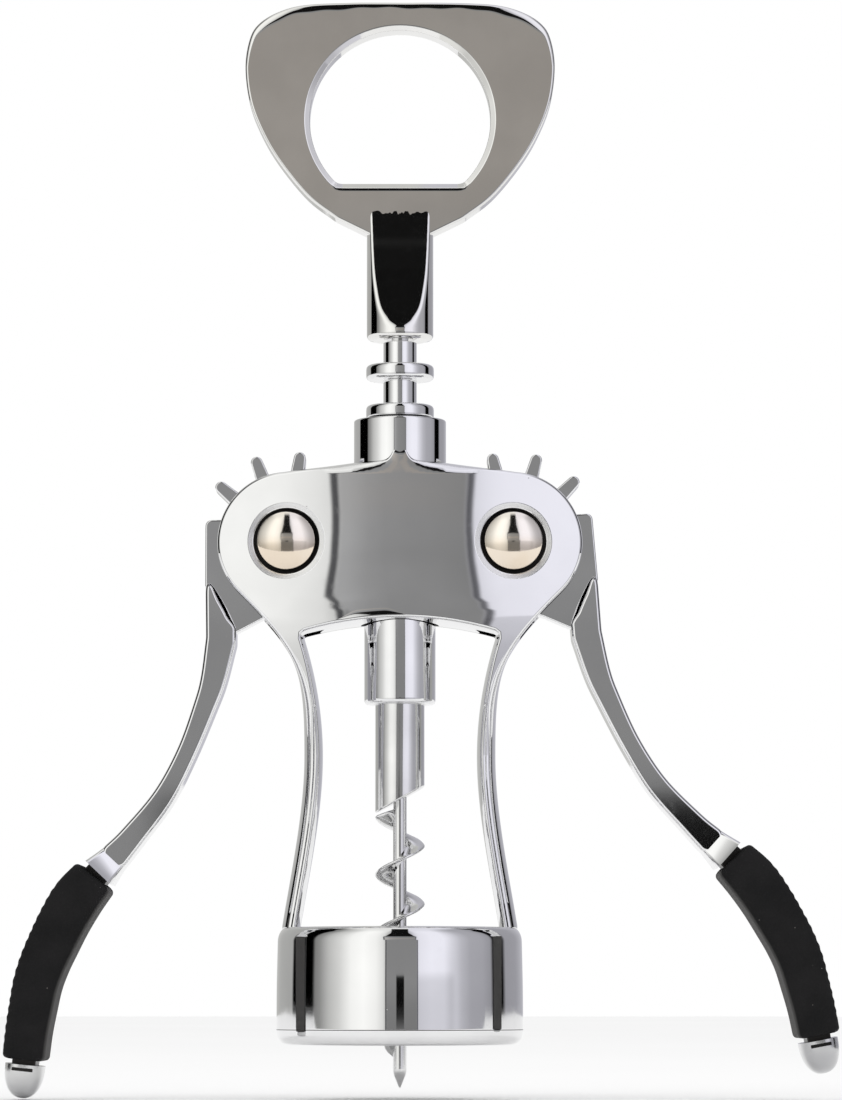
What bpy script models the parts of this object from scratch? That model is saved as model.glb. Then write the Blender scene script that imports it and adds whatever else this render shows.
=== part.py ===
"""Wing corkscrew: a die-cast frame, a ringed stem with an opener handle and a worm, and two geared levers.

Metres, +Z up. The stem turns and slides on the Z axis, the rim of the bell lies in the plane z = 0,
and the flat faces look along -Y. The levers stand part way open, the right one a little further.
Outlines are lists of (x, z) points, and profiles are lists of (radius, z) points.
"""

import math

import bmesh
import bpy
from mathutils import Matrix, Vector

# Gap between pieces that touch, turn or slide on each other, and how far a cutting shape overruns
FIT_GAP = 0.0003
CUT_OVERRUN = 0.002
BELL_SEGMENTS = 64
ROUND_SEGMENTS = 48
SMALL_SEGMENTS = 28
PIN_SEGMENTS = 20

# Rack: full rings on the stem, so that the stem can turn while the gears hold it
RACK_PITCH = 0.0067
RACK_CORE_RADIUS = 0.00275
RACK_RING_RADIUS = 0.0056
RACK_RING_THICKNESS = 0.0025
RACK_RING_ROUNDING = 0.0007
RACK_RINGS_ABOVE = 5
RACK_RINGS_BELOW = 1
MESH_GAP_DROP = 0.0017

# Gears on the levers: finger-shaped teeth with round ends
GEAR_TIP_RADIUS = 0.0152
GEAR_ROOT_RADIUS = 0.0108
GEAR_TIP_CLEARANCE = 0.00065
GEAR_PITCH_LINE_DEPTH = 0.0002
GEAR_HALF_DEPTH = 0.0024
TOOTH_TIP_HALF_WIDTH = 0.00098
TOOTH_BASE_HALF_WIDTH = 0.00122
FIRST_TOOTH = -1
LAST_TOOTH = 5
LEFT_LEVER_PLAY_DEG = 1.7
RIGHT_LEVER_OPENING_DEG = 4.9

# Root block of the lever: the corner behind the last tooth, and the heel under the first tooth
BLOCK_REACH = 0.01342
BLOCK_TOP = 0.0038
BLOCK_ROUNDING = 0.001
HEEL_SHARES = ((-0.83, -0.62), (-0.76, -1.05), (-0.59, -1.0), (-0.25, -0.82))
HEEL_END_DEG = -75.0

# Arm and grip of the lever: the leaf-shaped top end of the arm in shares of the gear's tip radius, then
# (x, z, half width) at stations down the arm and the grip, in shares of the lever's reach from its pivot
LEVER_REACH = 0.0942
LEAF_TIP_SHARES = (-0.845, -0.455)
LEAF_SHOULDER_SHARES = (-0.874, -0.48)
LEAF_CONTROL_SHARES = (-0.64, -0.70)
LEAF_HEEL_SHARES = (-0.545, -0.935)
ARM_STATION_SHARES = (
    (-0.114, -0.172, 0.0265),
    (-0.127, -0.240, 0.0223),
    (-0.142, -0.287, 0.0196),
    (-0.173, -0.367, 0.0172),
    (-0.213, -0.444, 0.0186),
    (-0.266, -0.512, 0.0212),
    (-0.295, -0.545, 0.0244),
    (-0.324, -0.576, 0.0292),
)
ARM_STATION_STEPS = 3
ARM_HALF_DEPTH = 0.0042
ARM_BEVEL = 0.00035
ARM_FLARE_LENGTH = 0.0046
ARM_FLARE_HALF_DEPTH = 0.0062
ARM_FLARE_ROUNDING = 0.0007
ARM_FLARE_SINK = 0.0001
GRIP_STATION_SHARES = (
    (-0.331, -0.582, 0.0382),
    (-0.363, -0.621, 0.0425),
    (-0.385, -0.658, 0.0425),
    (-0.403, -0.695, 0.0419),
    (-0.419, -0.731, 0.0409),
    (-0.431, -0.767, 0.0398),
    (-0.439, -0.808, 0.0387),
    (-0.446, -0.850, 0.0377),
    (-0.451, -0.898, 0.0366),
)
GRIP_STATION_STEPS = 2
GRIP_HALF_DEPTH = 0.0067
GRIP_ROUNDING = 0.0016
GRIP_END_ROUNDING = 0.0008
GRIP_WALL = 0.0015
CORE_HALF_DEPTH = 0.0040
CORE_SPIGOT_LENGTH = 0.002
CORE_ROOT_LENGTH = 0.003

# Chrome end cap below the grip
CAP_HALF_WIDTH = 0.0032
CAP_HALF_DEPTH = 0.0058
CAP_LENGTH = 0.0055
CAP_GAP = 0.0008
CAP_POINT_SHARE = 0.2
CAP_DEPTH_DROP_SHARE = 0.42
CAP_RING_POINTS = 20
CAP_RINGS = 7
CAP_SQUARENESS = 3.0
CAP_WINDOW_HALF_WIDTH = 0.0014
CAP_WINDOW_HEIGHT = 0.0005
CAP_WINDOW_DROP = 0.0007
CAP_WINDOW_DEPTH = 0.0005

# Pivots: a shouldered pin with a domed head, its domed nut, and thin washers beside the gear
PIVOT_HEIGHT = 0.0822
PIN_RADIUS = 0.0024
PIN_THREAD_RADIUS = 0.0015
DOME_RADIUS = 0.00485
DOME_EDGE_HEIGHT = 0.0009
DOME_HEIGHT = 0.0022
WASHER_RADIUS = 0.0062
WASHER_THICKNESS = 0.0004
RECESS_CHAMFER = 0.0008
RECESS_FLOOR = 0.0018

# Housing: two cheeks round the gears, closed at the top and bottom by webs
CHEEK_RADIUS = 0.0114
CHEEK_THICKNESS = 0.0052
CHEEK_LOW_ANGLE_DEG = 225.0
CHEEK_TOP_ANGLE_DEG = 93.0
HOUSING_FRONT_RADIUS = 0.110
HOUSING_CROWN_RISE = 0.0133
HOUSING_SHOULDER_RISE = 0.0128
HOUSING_SHOULDER_HALF_WIDTH = 0.0078
SLOT_CLEARANCE = 0.0005

# Collar on the housing and its bush
COLLAR_RADIUS = 0.0076
COLLAR_RISE = 0.0205
COLLAR_ROUNDING = 0.0004
COLLAR_FILLET = 0.0008
BUSH_WALL = 0.0006
BUSH_LENGTH = 0.0058
BUSH_GAP = 0.00025

# Legs and the window between them
LEG_WAIST_HEIGHT = 0.047
LEG_WAIST_OUTER = 0.0157
LEG_THICKNESS = 0.00305
LEG_SLIMMING = 0.0023
LEG_FOOT_SINK = 0.004
LEG_TOP_CURVE_SHARES = (0.48, 0.51)
LEG_FOOT_CURVE_SHARES = (0.32, 0.32)
LEG_FOOT_SLOPE = 0.16
WINDOW_TOP_DROP = 0.0132
WINDOW_ARCH_DROP = 0.0022
WINDOW_CORNER_HALF_WIDTH = 0.0158
WINDOW_CORNER_ROUNDING = 0.0009
WINDOW_CURVE_SHARES = (0.30, 0.36)

# Bell
BELL_HEIGHT = 0.0191
BELL_RADIUS = 0.02015
BELL_TOP_RADIUS = 0.0193
BELL_TOP_ROUNDING = 0.0008
BELL_SHOULDER_DROP = 0.0075
BELL_FOOT_HEIGHT = 0.0024
BELL_FOOT_STEP = 0.0002
BELL_FOOT_ROUNDING = 0.0013
BELL_RIM_RADIUS = 0.0168
BELL_MOUTH_RADIUS = 0.0161
BELL_SEAT_RADIUS = 0.0156
BELL_SEAT_HEIGHT = 0.013
CORK_BORE_RADIUS = 0.0125
CORK_BORE_ROUNDING = 0.0005

# Opener handle: flat plate with a D-shaped hole, on a round neck that is scooped flat front and back
NECK_STAND_OFF = 0.00535
NECK_RADIUS = 0.0055
NECK_LENGTH = 0.0174
NECK_ROUNDING = 0.0009
SCOOP_SHARES = (
    (1.3, 0.03),
    (1.0, 0.11),
    (0.88, 0.19),
    (0.76, 0.30),
    (0.65, 0.45),
    (0.56, 0.62),
    (0.48, 0.80),
    (0.41, 1.0),
)
NECK_OVERLAP = 0.0035
PLATE_HALF_DEPTH = 0.0024
PLATE_BEVEL = 0.0009
PLATE_HALF_WIDTH = 0.0257
PLATE_HEIGHT = 0.0391
PLATE_OUTLINE_SHARES = (
    (0.0, 1.0),
    (0.31, 1.0),
    (0.62, 0.99),
    (0.80, 0.957),
    (0.92, 0.905),
    (0.975, 0.838),
    (1.0, 0.724),
    (0.975, 0.58),
    (0.905, 0.453),
    (0.79, 0.32),
    (0.60, 0.166),
    (0.41, 0.069),
)
PLATE_OUTLINE_STEPS = 3
OPENING_RADIUS = 0.0150
OPENING_HEIGHT = 0.0194
OPENING_FLAT_DROP = 0.0107
OPENING_BEVEL = 0.001
OPENING_CORNER_ROUNDING = 0.0008
SPIGOT_RADIUS = 0.0022
SPIGOT_LENGTH = 0.0088
CROSS_PIN_RADIUS = 0.0008

# Hub and worm
HUB_RADIUS = 0.00585
HUB_LENGTH = 0.01605
HUB_ROUNDING = 0.0008
SHANK_RADIUS = 0.00403
SHANK_SEAT_DEPTH = 0.0100
SHANK_LENGTH = 0.0157
SHANK_SLANT = 0.0022
AUGER_LENGTH = 0.0469
AUGER_CORE_RADIUS = 0.0011
AUGER_POINT_LENGTH = 0.0024
AUGER_POINT_RADIUS = 0.00015
FLIGHT_RADIUS = 0.00407
FLIGHT_PITCH = 0.0095
FLIGHT_ROOT_HALF_THICKNESS = 0.0008
FLIGHT_RIM_HALF_THICKNESS = 0.00022
FLIGHT_START_DEG = 205.0
FLIGHT_START_DROP = 0.0023
FLIGHT_END_RISE = 0.0042
FLIGHT_FADE_DEG = 230.0
FLIGHT_STEP_DEG = 24.0
FLIGHT_ROOT_SHARE = 0.5
FLIGHT_BURIED_SHARE = 0.8

# Sizes that follow from the ones above
PIVOT_OFFSET = RACK_CORE_RADIUS + GEAR_TIP_CLEARANCE + GEAR_TIP_RADIUS
GEAR_PITCH_RADIUS = PIVOT_OFFSET - RACK_RING_RADIUS + GEAR_PITCH_LINE_DEPTH
TOOTH_ANGLE = RACK_PITCH / GEAR_PITCH_RADIUS
MESH_ANGLE = -MESH_GAP_DROP / GEAR_PITCH_RADIUS
SLOT_HALF_DEPTH = GEAR_HALF_DEPTH + FIT_GAP + WASHER_THICKNESS + FIT_GAP
HOUSING_HALF_DEPTH = SLOT_HALF_DEPTH + CHEEK_THICKNESS
RECESS_FLOOR_DEPTH = SLOT_HALF_DEPTH + RECESS_FLOOR
RECESS_RADIUS = DOME_RADIUS + FIT_GAP + FIT_GAP
WINDOW_TOP = PIVOT_HEIGHT - WINDOW_TOP_DROP
COLLAR_TOP = PIVOT_HEIGHT + COLLAR_RISE
MESH_GAP_HEIGHT = PIVOT_HEIGHT - MESH_GAP_DROP
TOP_RING_HEIGHT = MESH_GAP_HEIGHT + (RACK_RINGS_ABOVE - 0.5) * RACK_PITCH
HUB_TOP = MESH_GAP_HEIGHT - (RACK_RINGS_BELOW + 0.5) * RACK_PITCH + RACK_RING_THICKNESS / 2
HUB_BOTTOM = HUB_TOP - HUB_LENGTH
NECK_BOTTOM = TOP_RING_HEIGHT + NECK_STAND_OFF
PLATE_BOTTOM = NECK_BOTTOM + NECK_LENGTH
SHANK_END = HUB_BOTTOM - SHANK_LENGTH
WORM_TIP = SHANK_END - AUGER_LENGTH
STEM_BORE_RADIUS = RACK_RING_RADIUS + BUSH_GAP
BUSH_RADIUS = STEM_BORE_RADIUS + BUSH_WALL
HUB_BORE_RADIUS = HUB_RADIUS + FIT_GAP + FIT_GAP


def polar(radius, angle, centre=(0.0, 0.0)):
    """The point at an angle from +x, on a circle."""
    return (centre[0] + radius * math.cos(angle), centre[1] + radius * math.sin(angle))


def arc(radius, start_deg, end_deg, steps, centre=(0.0, 0.0)):
    """Points along an arc, both ends included."""
    return [
        polar(radius, math.radians(start_deg + (end_deg - start_deg) * i / steps), centre)
        for i in range(steps + 1)
    ]


def bezier(points, steps):
    """Points along a Bezier curve of any degree, both ends included."""
    result = []
    for i in range(steps + 1):
        t = i / steps
        level = list(points)
        while len(level) > 1:
            level = [
                tuple(a + (b - a) * t for a, b in zip(p, q)) for p, q in zip(level, level[1:])
            ]
        result.append(level[0])
    return result


def smooth_through(points, steps):
    """A curve through the points, with steps pieces between each pair and straight-running ends."""
    ends = [
        tuple(2 * a - b for a, b in zip(points[0], points[1])),
        tuple(2 * a - b for a, b in zip(points[-1], points[-2])),
    ]
    rail = [ends[0], *points, ends[1]]
    result = []
    for p0, p1, p2, p3 in zip(rail, rail[1:], rail[2:], rail[3:]):
        for i in range(steps):
            t = i / steps
            result.append(
                tuple(
                    0.5
                    * (
                        2 * b
                        + (c - a) * t
                        + (2 * a - 5 * b + 4 * c - d) * t * t
                        + (3 * b - a - 3 * c + d) * t * t * t
                    )
                    for a, b, c, d in zip(p0, p1, p2, p3)
                )
            )
    return [*result, tuple(points[-1])]


def scaled(shares, size):
    """Share pairs turned into points of one size."""
    return [(x * size, z * size) for x, z in shares]


def mirrored(points):
    """The points with x reversed, in reverse order, so that an outline keeps its direction."""
    return [(-x, z) for x, z in reversed(points)]


def fillet(corner, before, after, radius, steps=4):
    """Points that round off a corner between two straight edges."""
    corner, before, after = Vector(corner), Vector(before), Vector(after)
    to_before = (before - corner).normalized()
    to_after = (after - corner).normalized()
    half_angle = to_before.angle(to_after) / 2
    reach = radius / math.tan(half_angle)
    centre = corner + (to_before + to_after).normalized() * (radius / math.sin(half_angle))
    start = corner + to_before * reach - centre
    end = corner + to_after * reach - centre
    turns = [start.lerp(end, i / steps).normalized() * radius for i in range(steps + 1)]
    return [tuple(centre + turn) for turn in turns]


def link(name, bm):
    """Puts a bmesh into the scene as an object, with its faces pointing out."""
    bmesh.ops.recalc_face_normals(bm, faces=bm.faces)
    mesh = bpy.data.meshes.new(name)
    bm.to_mesh(mesh)
    bm.free()
    solid = bpy.data.objects.new(name, mesh)
    bpy.context.scene.collection.objects.link(solid)
    return solid


def round_off(bm, face, radius, steps):
    """Rounds the edge of an end face that stands square on its wall, by insets that also rise."""
    normal = face.normal.copy()
    inset, rise = 0.0, 0.0
    for i in range(1, steps + 1):
        angle = math.pi / 2 * i / steps
        next_inset = radius * (1 - math.cos(angle)) if steps > 1 else radius
        next_rise = radius * math.sin(angle)
        bmesh.ops.inset_region(
            bm, faces=[face], thickness=next_inset - inset, use_even_offset=True, use_boundary=True
        )
        bmesh.ops.translate(bm, verts=face.verts, vec=normal * (next_rise - rise))
        inset, rise = next_inset, next_rise


def prism(name, outline, half_depth, rounding=0.0, steps=1):
    """A plate with the outline, centred on y = 0, with its two face edges bevelled or rounded."""
    bm = bmesh.new()
    wall = half_depth - rounding
    front = bm.faces.new([bm.verts.new((x, -wall, z)) for x, z in outline])
    extruded = bmesh.ops.extrude_face_region(bm, geom=[front])["geom"]
    back = next(item for item in extruded if isinstance(item, bmesh.types.BMFace))
    moved = [item for item in extruded if isinstance(item, bmesh.types.BMVert)]
    bmesh.ops.translate(bm, verts=moved, vec=(0.0, 2 * wall, 0.0))
    if not any(front is face for face in bm.faces):
        front = next(f for f in bm.faces if all(v.co.y < 0 for v in f.verts))
    bmesh.ops.recalc_face_normals(bm, faces=bm.faces)
    if rounding:
        round_off(bm, front, rounding, steps)
        round_off(bm, back, rounding, steps)
    return link(name, bm)


def lathe(name, profile, segments=ROUND_SEGMENTS):
    """A profile turned round the Z axis. It closes on itself unless both its ends are on the axis."""
    bm = bmesh.new()
    verts = [bm.verts.new((radius, 0.0, z)) for radius, z in profile]
    pairs = list(zip(verts, verts[1:]))
    if profile[0][0] > 0.0:
        pairs.append((verts[-1], verts[0]))
    edges = [bm.edges.new(pair) for pair in pairs]
    bmesh.ops.spin(
        bm, geom=verts + edges, cent=(0, 0, 0), axis=(0, 0, 1), angle=2 * math.pi, steps=segments
    )
    bmesh.ops.remove_doubles(bm, verts=bm.verts, dist=FIT_GAP / 100)
    return link(name, bm)


def placed(solid, matrix):
    """Moves the mesh of a solid."""
    solid.data.transform(matrix)
    solid.data.update()
    return solid


def along_y(solid, x, z):
    """Turns a solid that was made along Z to lie along Y, through a point of the XZ plane."""
    return placed(solid, Matrix.Translation((x, 0.0, z)) @ Matrix.Rotation(math.pi / 2, 4, "X"))


def along_x(solid, z):
    """Turns a solid that was made along Z to lie along X, at a height."""
    return placed(solid, Matrix.Translation((0.0, 0.0, z)) @ Matrix.Rotation(math.pi / 2, 4, "Y"))


def rod(name, radius, low, high, segments=SMALL_SEGMENTS):
    """A plain cylinder on the Z axis."""
    return lathe(name, [(0.0, high), (radius, high), (radius, low), (0.0, low)], segments)


def combine(solid, tool, operation):
    """Joins, cuts or crosses a solid with a tool, and removes the tool."""
    modifier = solid.modifiers.new(operation.lower(), "BOOLEAN")
    modifier.object = tool
    modifier.operation = operation
    modifier.solver = "EXACT"
    graph = bpy.context.evaluated_depsgraph_get()
    before = solid.data
    after = bpy.data.meshes.new_from_object(solid.evaluated_get(graph))
    solid.modifiers.clear()
    solid.data = after
    bpy.data.meshes.remove(before)
    bpy.data.objects.remove(tool)
    return solid


def joined(solid, tool):
    return combine(solid, tool, "UNION")


def cut(solid, tool):
    return combine(solid, tool, "DIFFERENCE")


def crossed(solid, tool):
    return combine(solid, tool, "INTERSECT")


def finish_material(name, colour, roughness, metallic):
    """A plain shader with one colour."""
    material = bpy.data.materials.new(name)
    material.use_nodes = True
    shader = material.node_tree.nodes["Principled BSDF"]
    shader.inputs["Base Color"].default_value = (*colour, 1.0)
    shader.inputs["Roughness"].default_value = roughness
    shader.inputs["Metallic"].default_value = metallic
    return material


def finished(solid, name, material, sharp_deg=32.0):
    """Names a finished piece and gives it its material and shading."""
    solid.name = name
    solid.data.name = name
    solid.data.materials.clear()
    solid.data.materials.append(material)
    solid.data.shade_smooth()
    solid.data.set_sharp_from_angle(angle=math.radians(sharp_deg))
    return solid


def leg_outer_edge():
    """Outer edge of the frame from the low end of the right cheek's arc down into the bell."""
    start = polar(CHEEK_RADIUS, math.radians(180.0 - CHEEK_LOW_ANGLE_DEG), (PIVOT_OFFSET, PIVOT_HEIGHT))
    waist = (LEG_WAIST_OUTER, LEG_WAIST_HEIGHT)
    foot = (BELL_TOP_RADIUS, BELL_HEIGHT)
    top_span = math.dist(start, waist)
    foot_span = math.dist(waist, foot)
    top_pull = top_span * LEG_TOP_CURVE_SHARES[0]
    tangent = math.radians(180.0 - CHEEK_LOW_ANGLE_DEG - 90.0)
    upper = bezier(
        [
            start,
            polar(top_pull, tangent, start),
            (waist[0], waist[1] + top_span * LEG_TOP_CURVE_SHARES[1]),
            waist,
        ],
        10,
    )
    foot_pull = foot_span * LEG_FOOT_CURVE_SHARES[1]
    lower = bezier(
        [
            waist,
            (waist[0], waist[1] - foot_span * LEG_FOOT_CURVE_SHARES[0]),
            (foot[0] - foot_pull * LEG_FOOT_SLOPE, foot[1] + foot_pull),
            foot,
        ],
        8,
    )
    return upper, lower


def frame_outline():
    """Front outline of the housing and legs, closed inside the bell."""
    pivot = (PIVOT_OFFSET, PIVOT_HEIGHT)
    crown = (0.0, PIVOT_HEIGHT + HOUSING_CROWN_RISE)
    shoulder = (HOUSING_SHOULDER_HALF_WIDTH, PIVOT_HEIGHT + HOUSING_SHOULDER_RISE)
    cheek = arc(CHEEK_RADIUS, 180.0 - CHEEK_TOP_ANGLE_DEG, 180.0 - CHEEK_LOW_ANGLE_DEG, 22, pivot)
    upper, lower = leg_outer_edge()
    foot = (BELL_TOP_RADIUS - BELL_TOP_ROUNDING, BELL_HEIGHT - LEG_FOOT_SINK)
    right = [shoulder, *cheek, *upper[1:], *lower[1:], foot]
    return [crown, *right, *mirrored(right)]


def window_outline():
    """The opening between the legs: an arched top, rounded corners and sides that follow the legs."""
    inner_waist = LEG_WAIST_OUTER - LEG_THICKNESS
    inner_foot = BELL_TOP_RADIUS - LEG_THICKNESS
    corner = (WINDOW_CORNER_HALF_WIDTH, WINDOW_TOP - WINDOW_ARCH_DROP)
    waist = (inner_waist, LEG_WAIST_HEIGHT)
    span = math.dist(corner, waist)
    upper = bezier(
        [
            corner,
            (
                corner[0] - (corner[0] - inner_waist) * 2 * WINDOW_CURVE_SHARES[0],
                corner[1] - span * WINDOW_CURVE_SHARES[0],
            ),
            (inner_waist, waist[1] + span * WINDOW_CURVE_SHARES[1]),
            waist,
        ],
        8,
    )
    foot = (inner_foot, BELL_HEIGHT)
    foot_span = math.dist(waist, foot)
    foot_pull = foot_span * LEG_FOOT_CURVE_SHARES[1]
    lower = bezier(
        [
            waist,
            (inner_waist, waist[1] - foot_span * LEG_FOOT_CURVE_SHARES[0]),
            (inner_foot - foot_pull * LEG_FOOT_SLOPE, foot[1] + foot_pull),
            foot,
        ],
        8,
    )
    arch_radius = (corner[0] ** 2 + WINDOW_ARCH_DROP**2) / (2 * WINDOW_ARCH_DROP)
    arch_centre = (0.0, WINDOW_TOP - arch_radius)
    end_angle = math.degrees(math.asin(corner[0] / arch_radius))
    arch = arc(arch_radius, 90.0, 90.0 - end_angle, 8, arch_centre)
    rounded = fillet(corner, arch[-2], upper[1], WINDOW_CORNER_ROUNDING)
    below = (inner_foot, BELL_HEIGHT - LEG_FOOT_SINK - CUT_OVERRUN)
    right = [*arch[1:-1], *rounded, *upper[2:], *lower[1:], below]
    return [arch[0], *right, *mirrored(right)]


def frame_depth(x, z):
    """Half the depth of the frame: curved like a drum across the front, and slimmer at the legs."""
    curve = HOUSING_FRONT_RADIUS - math.sqrt(max(HOUSING_FRONT_RADIUS**2 - x * x, 0.0))
    fall = (WINDOW_TOP - WINDOW_ARCH_DROP - z) / (WINDOW_TOP - WINDOW_ARCH_DROP - LEG_WAIST_HEIGHT)
    fall = min(max(fall, 0.0), 1.0)
    return HOUSING_HALF_DEPTH - curve - LEG_SLIMMING * fall * fall * (3 - 2 * fall)


def drum_block():
    """A block with the curved front and back of the frame, wider and taller than the frame."""
    half_width = PIVOT_OFFSET + CHEEK_RADIUS + CUT_OVERRUN
    low = BELL_HEIGHT - LEG_FOOT_SINK - CUT_OVERRUN
    high = PIVOT_HEIGHT + HOUSING_CROWN_RISE + CUT_OVERRUN
    neck = WINDOW_TOP - WINDOW_ARCH_DROP
    columns = [half_width * (i / 7 - 1) for i in range(15)]
    slopes = [LEG_WAIST_HEIGHT + (neck - LEG_WAIST_HEIGHT) * i / 5 for i in range(6)]
    rows = [low, *slopes, high]
    bm = bmesh.new()
    front = [[bm.verts.new((x, -frame_depth(x, z), z)) for x in columns] for z in rows]
    back = [[bm.verts.new((x, frame_depth(x, z), z)) for x in columns] for z in rows]
    for face in (front, back):
        for lower_row, upper_row in zip(face, face[1:]):
            for quad in zip(lower_row, lower_row[1:], upper_row[1:], upper_row):
                bm.faces.new(quad)
    for a, b in zip(zip(front[0], back[0]), zip(front[0][1:], back[0][1:])):
        bm.faces.new((a[0], a[1], b[1], b[0]))
    for a, b in zip(zip(front[-1], back[-1]), zip(front[-1][1:], back[-1][1:])):
        bm.faces.new((a[0], a[1], b[1], b[0]))
    for side in (0, -1):
        for fa, fb, ba, bb in zip(front, front[1:], back, back[1:]):
            bm.faces.new((fa[side], fb[side], bb[side], ba[side]))
    return link("drum_block", bm)


def leg_envelope():
    """A turned body that rounds the outside of the legs, so that they run into the bell's wall."""
    _, lower = leg_outer_edge()
    wide = PIVOT_OFFSET + CHEEK_RADIUS + HOUSING_HALF_DEPTH
    rise = WINDOW_TOP - LEG_WAIST_HEIGHT
    release = LEG_WAIST_OUTER + HOUSING_HALF_DEPTH / 5
    profile = [
        (0.0, PIVOT_HEIGHT + HOUSING_CROWN_RISE + CUT_OVERRUN),
        (wide, PIVOT_HEIGHT + HOUSING_CROWN_RISE + CUT_OVERRUN),
        (wide, WINDOW_TOP),
        (release, LEG_WAIST_HEIGHT + rise / 2),
        *lower,
        (BELL_TOP_RADIUS, BELL_HEIGHT - LEG_FOOT_SINK - CUT_OVERRUN),
        (0.0, BELL_HEIGHT - LEG_FOOT_SINK - CUT_OVERRUN),
    ]
    return lathe("leg_envelope", profile)


def bell():
    """The bell: a round wall, a mouth for the bottle's lip, a flat seat and the cork's bore."""
    top_round = arc(
        BELL_TOP_ROUNDING,
        90.0,
        5.0,
        3,
        (BELL_TOP_RADIUS - BELL_TOP_ROUNDING, BELL_HEIGHT - BELL_TOP_ROUNDING),
    )
    foot_radius = BELL_RADIUS - BELL_FOOT_STEP
    foot_round = arc(
        BELL_FOOT_ROUNDING,
        0.0,
        -90.0,
        4,
        (foot_radius - BELL_FOOT_ROUNDING, BELL_FOOT_ROUNDING),
    )
    bore_round = arc(
        CORK_BORE_ROUNDING,
        180.0,
        90.0,
        2,
        (CORK_BORE_RADIUS + CORK_BORE_ROUNDING, BELL_HEIGHT - CORK_BORE_ROUNDING),
    )
    swell = (BELL_RADIUS + BELL_TOP_RADIUS) / 2
    profile = [
        *top_round,
        (swell, BELL_HEIGHT - BELL_SHOULDER_DROP / 2),
        (BELL_RADIUS, BELL_HEIGHT - BELL_SHOULDER_DROP),
        (BELL_RADIUS, BELL_FOOT_HEIGHT),
        (foot_radius, BELL_FOOT_HEIGHT - BELL_FOOT_STEP),
        *foot_round,
        (BELL_RIM_RADIUS, 0.0),
        (BELL_MOUTH_RADIUS, BELL_RIM_RADIUS - BELL_MOUTH_RADIUS),
        (BELL_SEAT_RADIUS, BELL_SEAT_HEIGHT),
        (CORK_BORE_RADIUS, BELL_SEAT_HEIGHT),
        *bore_round,
    ]
    return lathe("bell", profile, BELL_SEGMENTS)


def collar():
    """The collar round the stem, with a small fillet on the housing."""
    base = PIVOT_HEIGHT + HOUSING_CROWN_RISE
    rounding = arc(COLLAR_ROUNDING, 90.0, 0.0, 2, (COLLAR_RADIUS - COLLAR_ROUNDING, COLLAR_TOP - COLLAR_ROUNDING))
    foot = arc(COLLAR_FILLET, 180.0, 255.0, 3, (COLLAR_RADIUS + COLLAR_FILLET, base + COLLAR_FILLET))
    low = base - COLLAR_FILLET - CUT_OVERRUN / 2
    profile = [
        (0.0, COLLAR_TOP),
        *rounding,
        *foot,
        (COLLAR_RADIUS, low),
        (0.0, low),
    ]
    return lathe("collar", profile)


def stem_bore():
    """Everything that the frame is bored out with on the stem's axis, from the collar to the window."""
    top = COLLAR_TOP + CUT_OVERRUN
    bush_pocket = BUSH_RADIUS + BUSH_GAP
    bush_floor = COLLAR_TOP - BUSH_LENGTH - FIT_GAP
    hub_room = HUB_TOP + RACK_PITCH
    low = WINDOW_TOP - WINDOW_ARCH_DROP - CUT_OVERRUN
    profile = [
        (0.0, top),
        (bush_pocket, top),
        (bush_pocket, bush_floor),
        (STEM_BORE_RADIUS + FIT_GAP / 2, bush_floor),
        (STEM_BORE_RADIUS + FIT_GAP / 2, hub_room),
        (HUB_BORE_RADIUS, hub_room),
        (HUB_BORE_RADIUS, low),
        (0.0, low),
    ]
    return lathe("stem_bore", profile)


def pivot_bore(side):
    """The axle's hole, with a recess for the domed head on both faces of the housing."""
    far = HOUSING_HALF_DEPTH + CUT_OVERRUN
    half = [(PIN_RADIUS + FIT_GAP, RECESS_FLOOR_DEPTH), (RECESS_RADIUS, RECESS_FLOOR_DEPTH), (RECESS_RADIUS, far)]
    profile = [(0.0, far), *reversed(half), *((radius, -z) for radius, z in half), (0.0, -far)]
    return along_y(lathe("pivot_bore", profile, SMALL_SEGMENTS), side * PIVOT_OFFSET, PIVOT_HEIGHT)


def recess_chamfer(side, face):
    """A cone that chamfers one recess, square to the curved face of the housing."""
    deep = RECESS_CHAMFER + CUT_OVERRUN
    profile = [
        (0.0, CUT_OVERRUN),
        (RECESS_RADIUS + RECESS_CHAMFER + CUT_OVERRUN, CUT_OVERRUN),
        (RECESS_RADIUS - CUT_OVERRUN, -deep),
        (0.0, -deep),
    ]
    cone = lathe("recess_chamfer", profile, SMALL_SEGMENTS)
    lean = math.asin(PIVOT_OFFSET / HOUSING_FRONT_RADIUS)
    centre = (side * PIVOT_OFFSET, face * frame_depth(PIVOT_OFFSET, PIVOT_HEIGHT), PIVOT_HEIGHT)
    outward = Matrix.Rotation(-face * math.pi / 2, 4, "X")
    turn = Matrix.Rotation(-side * face * lean, 4, "Z")
    return placed(cone, Matrix.Translation(centre) @ turn @ outward)


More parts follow.
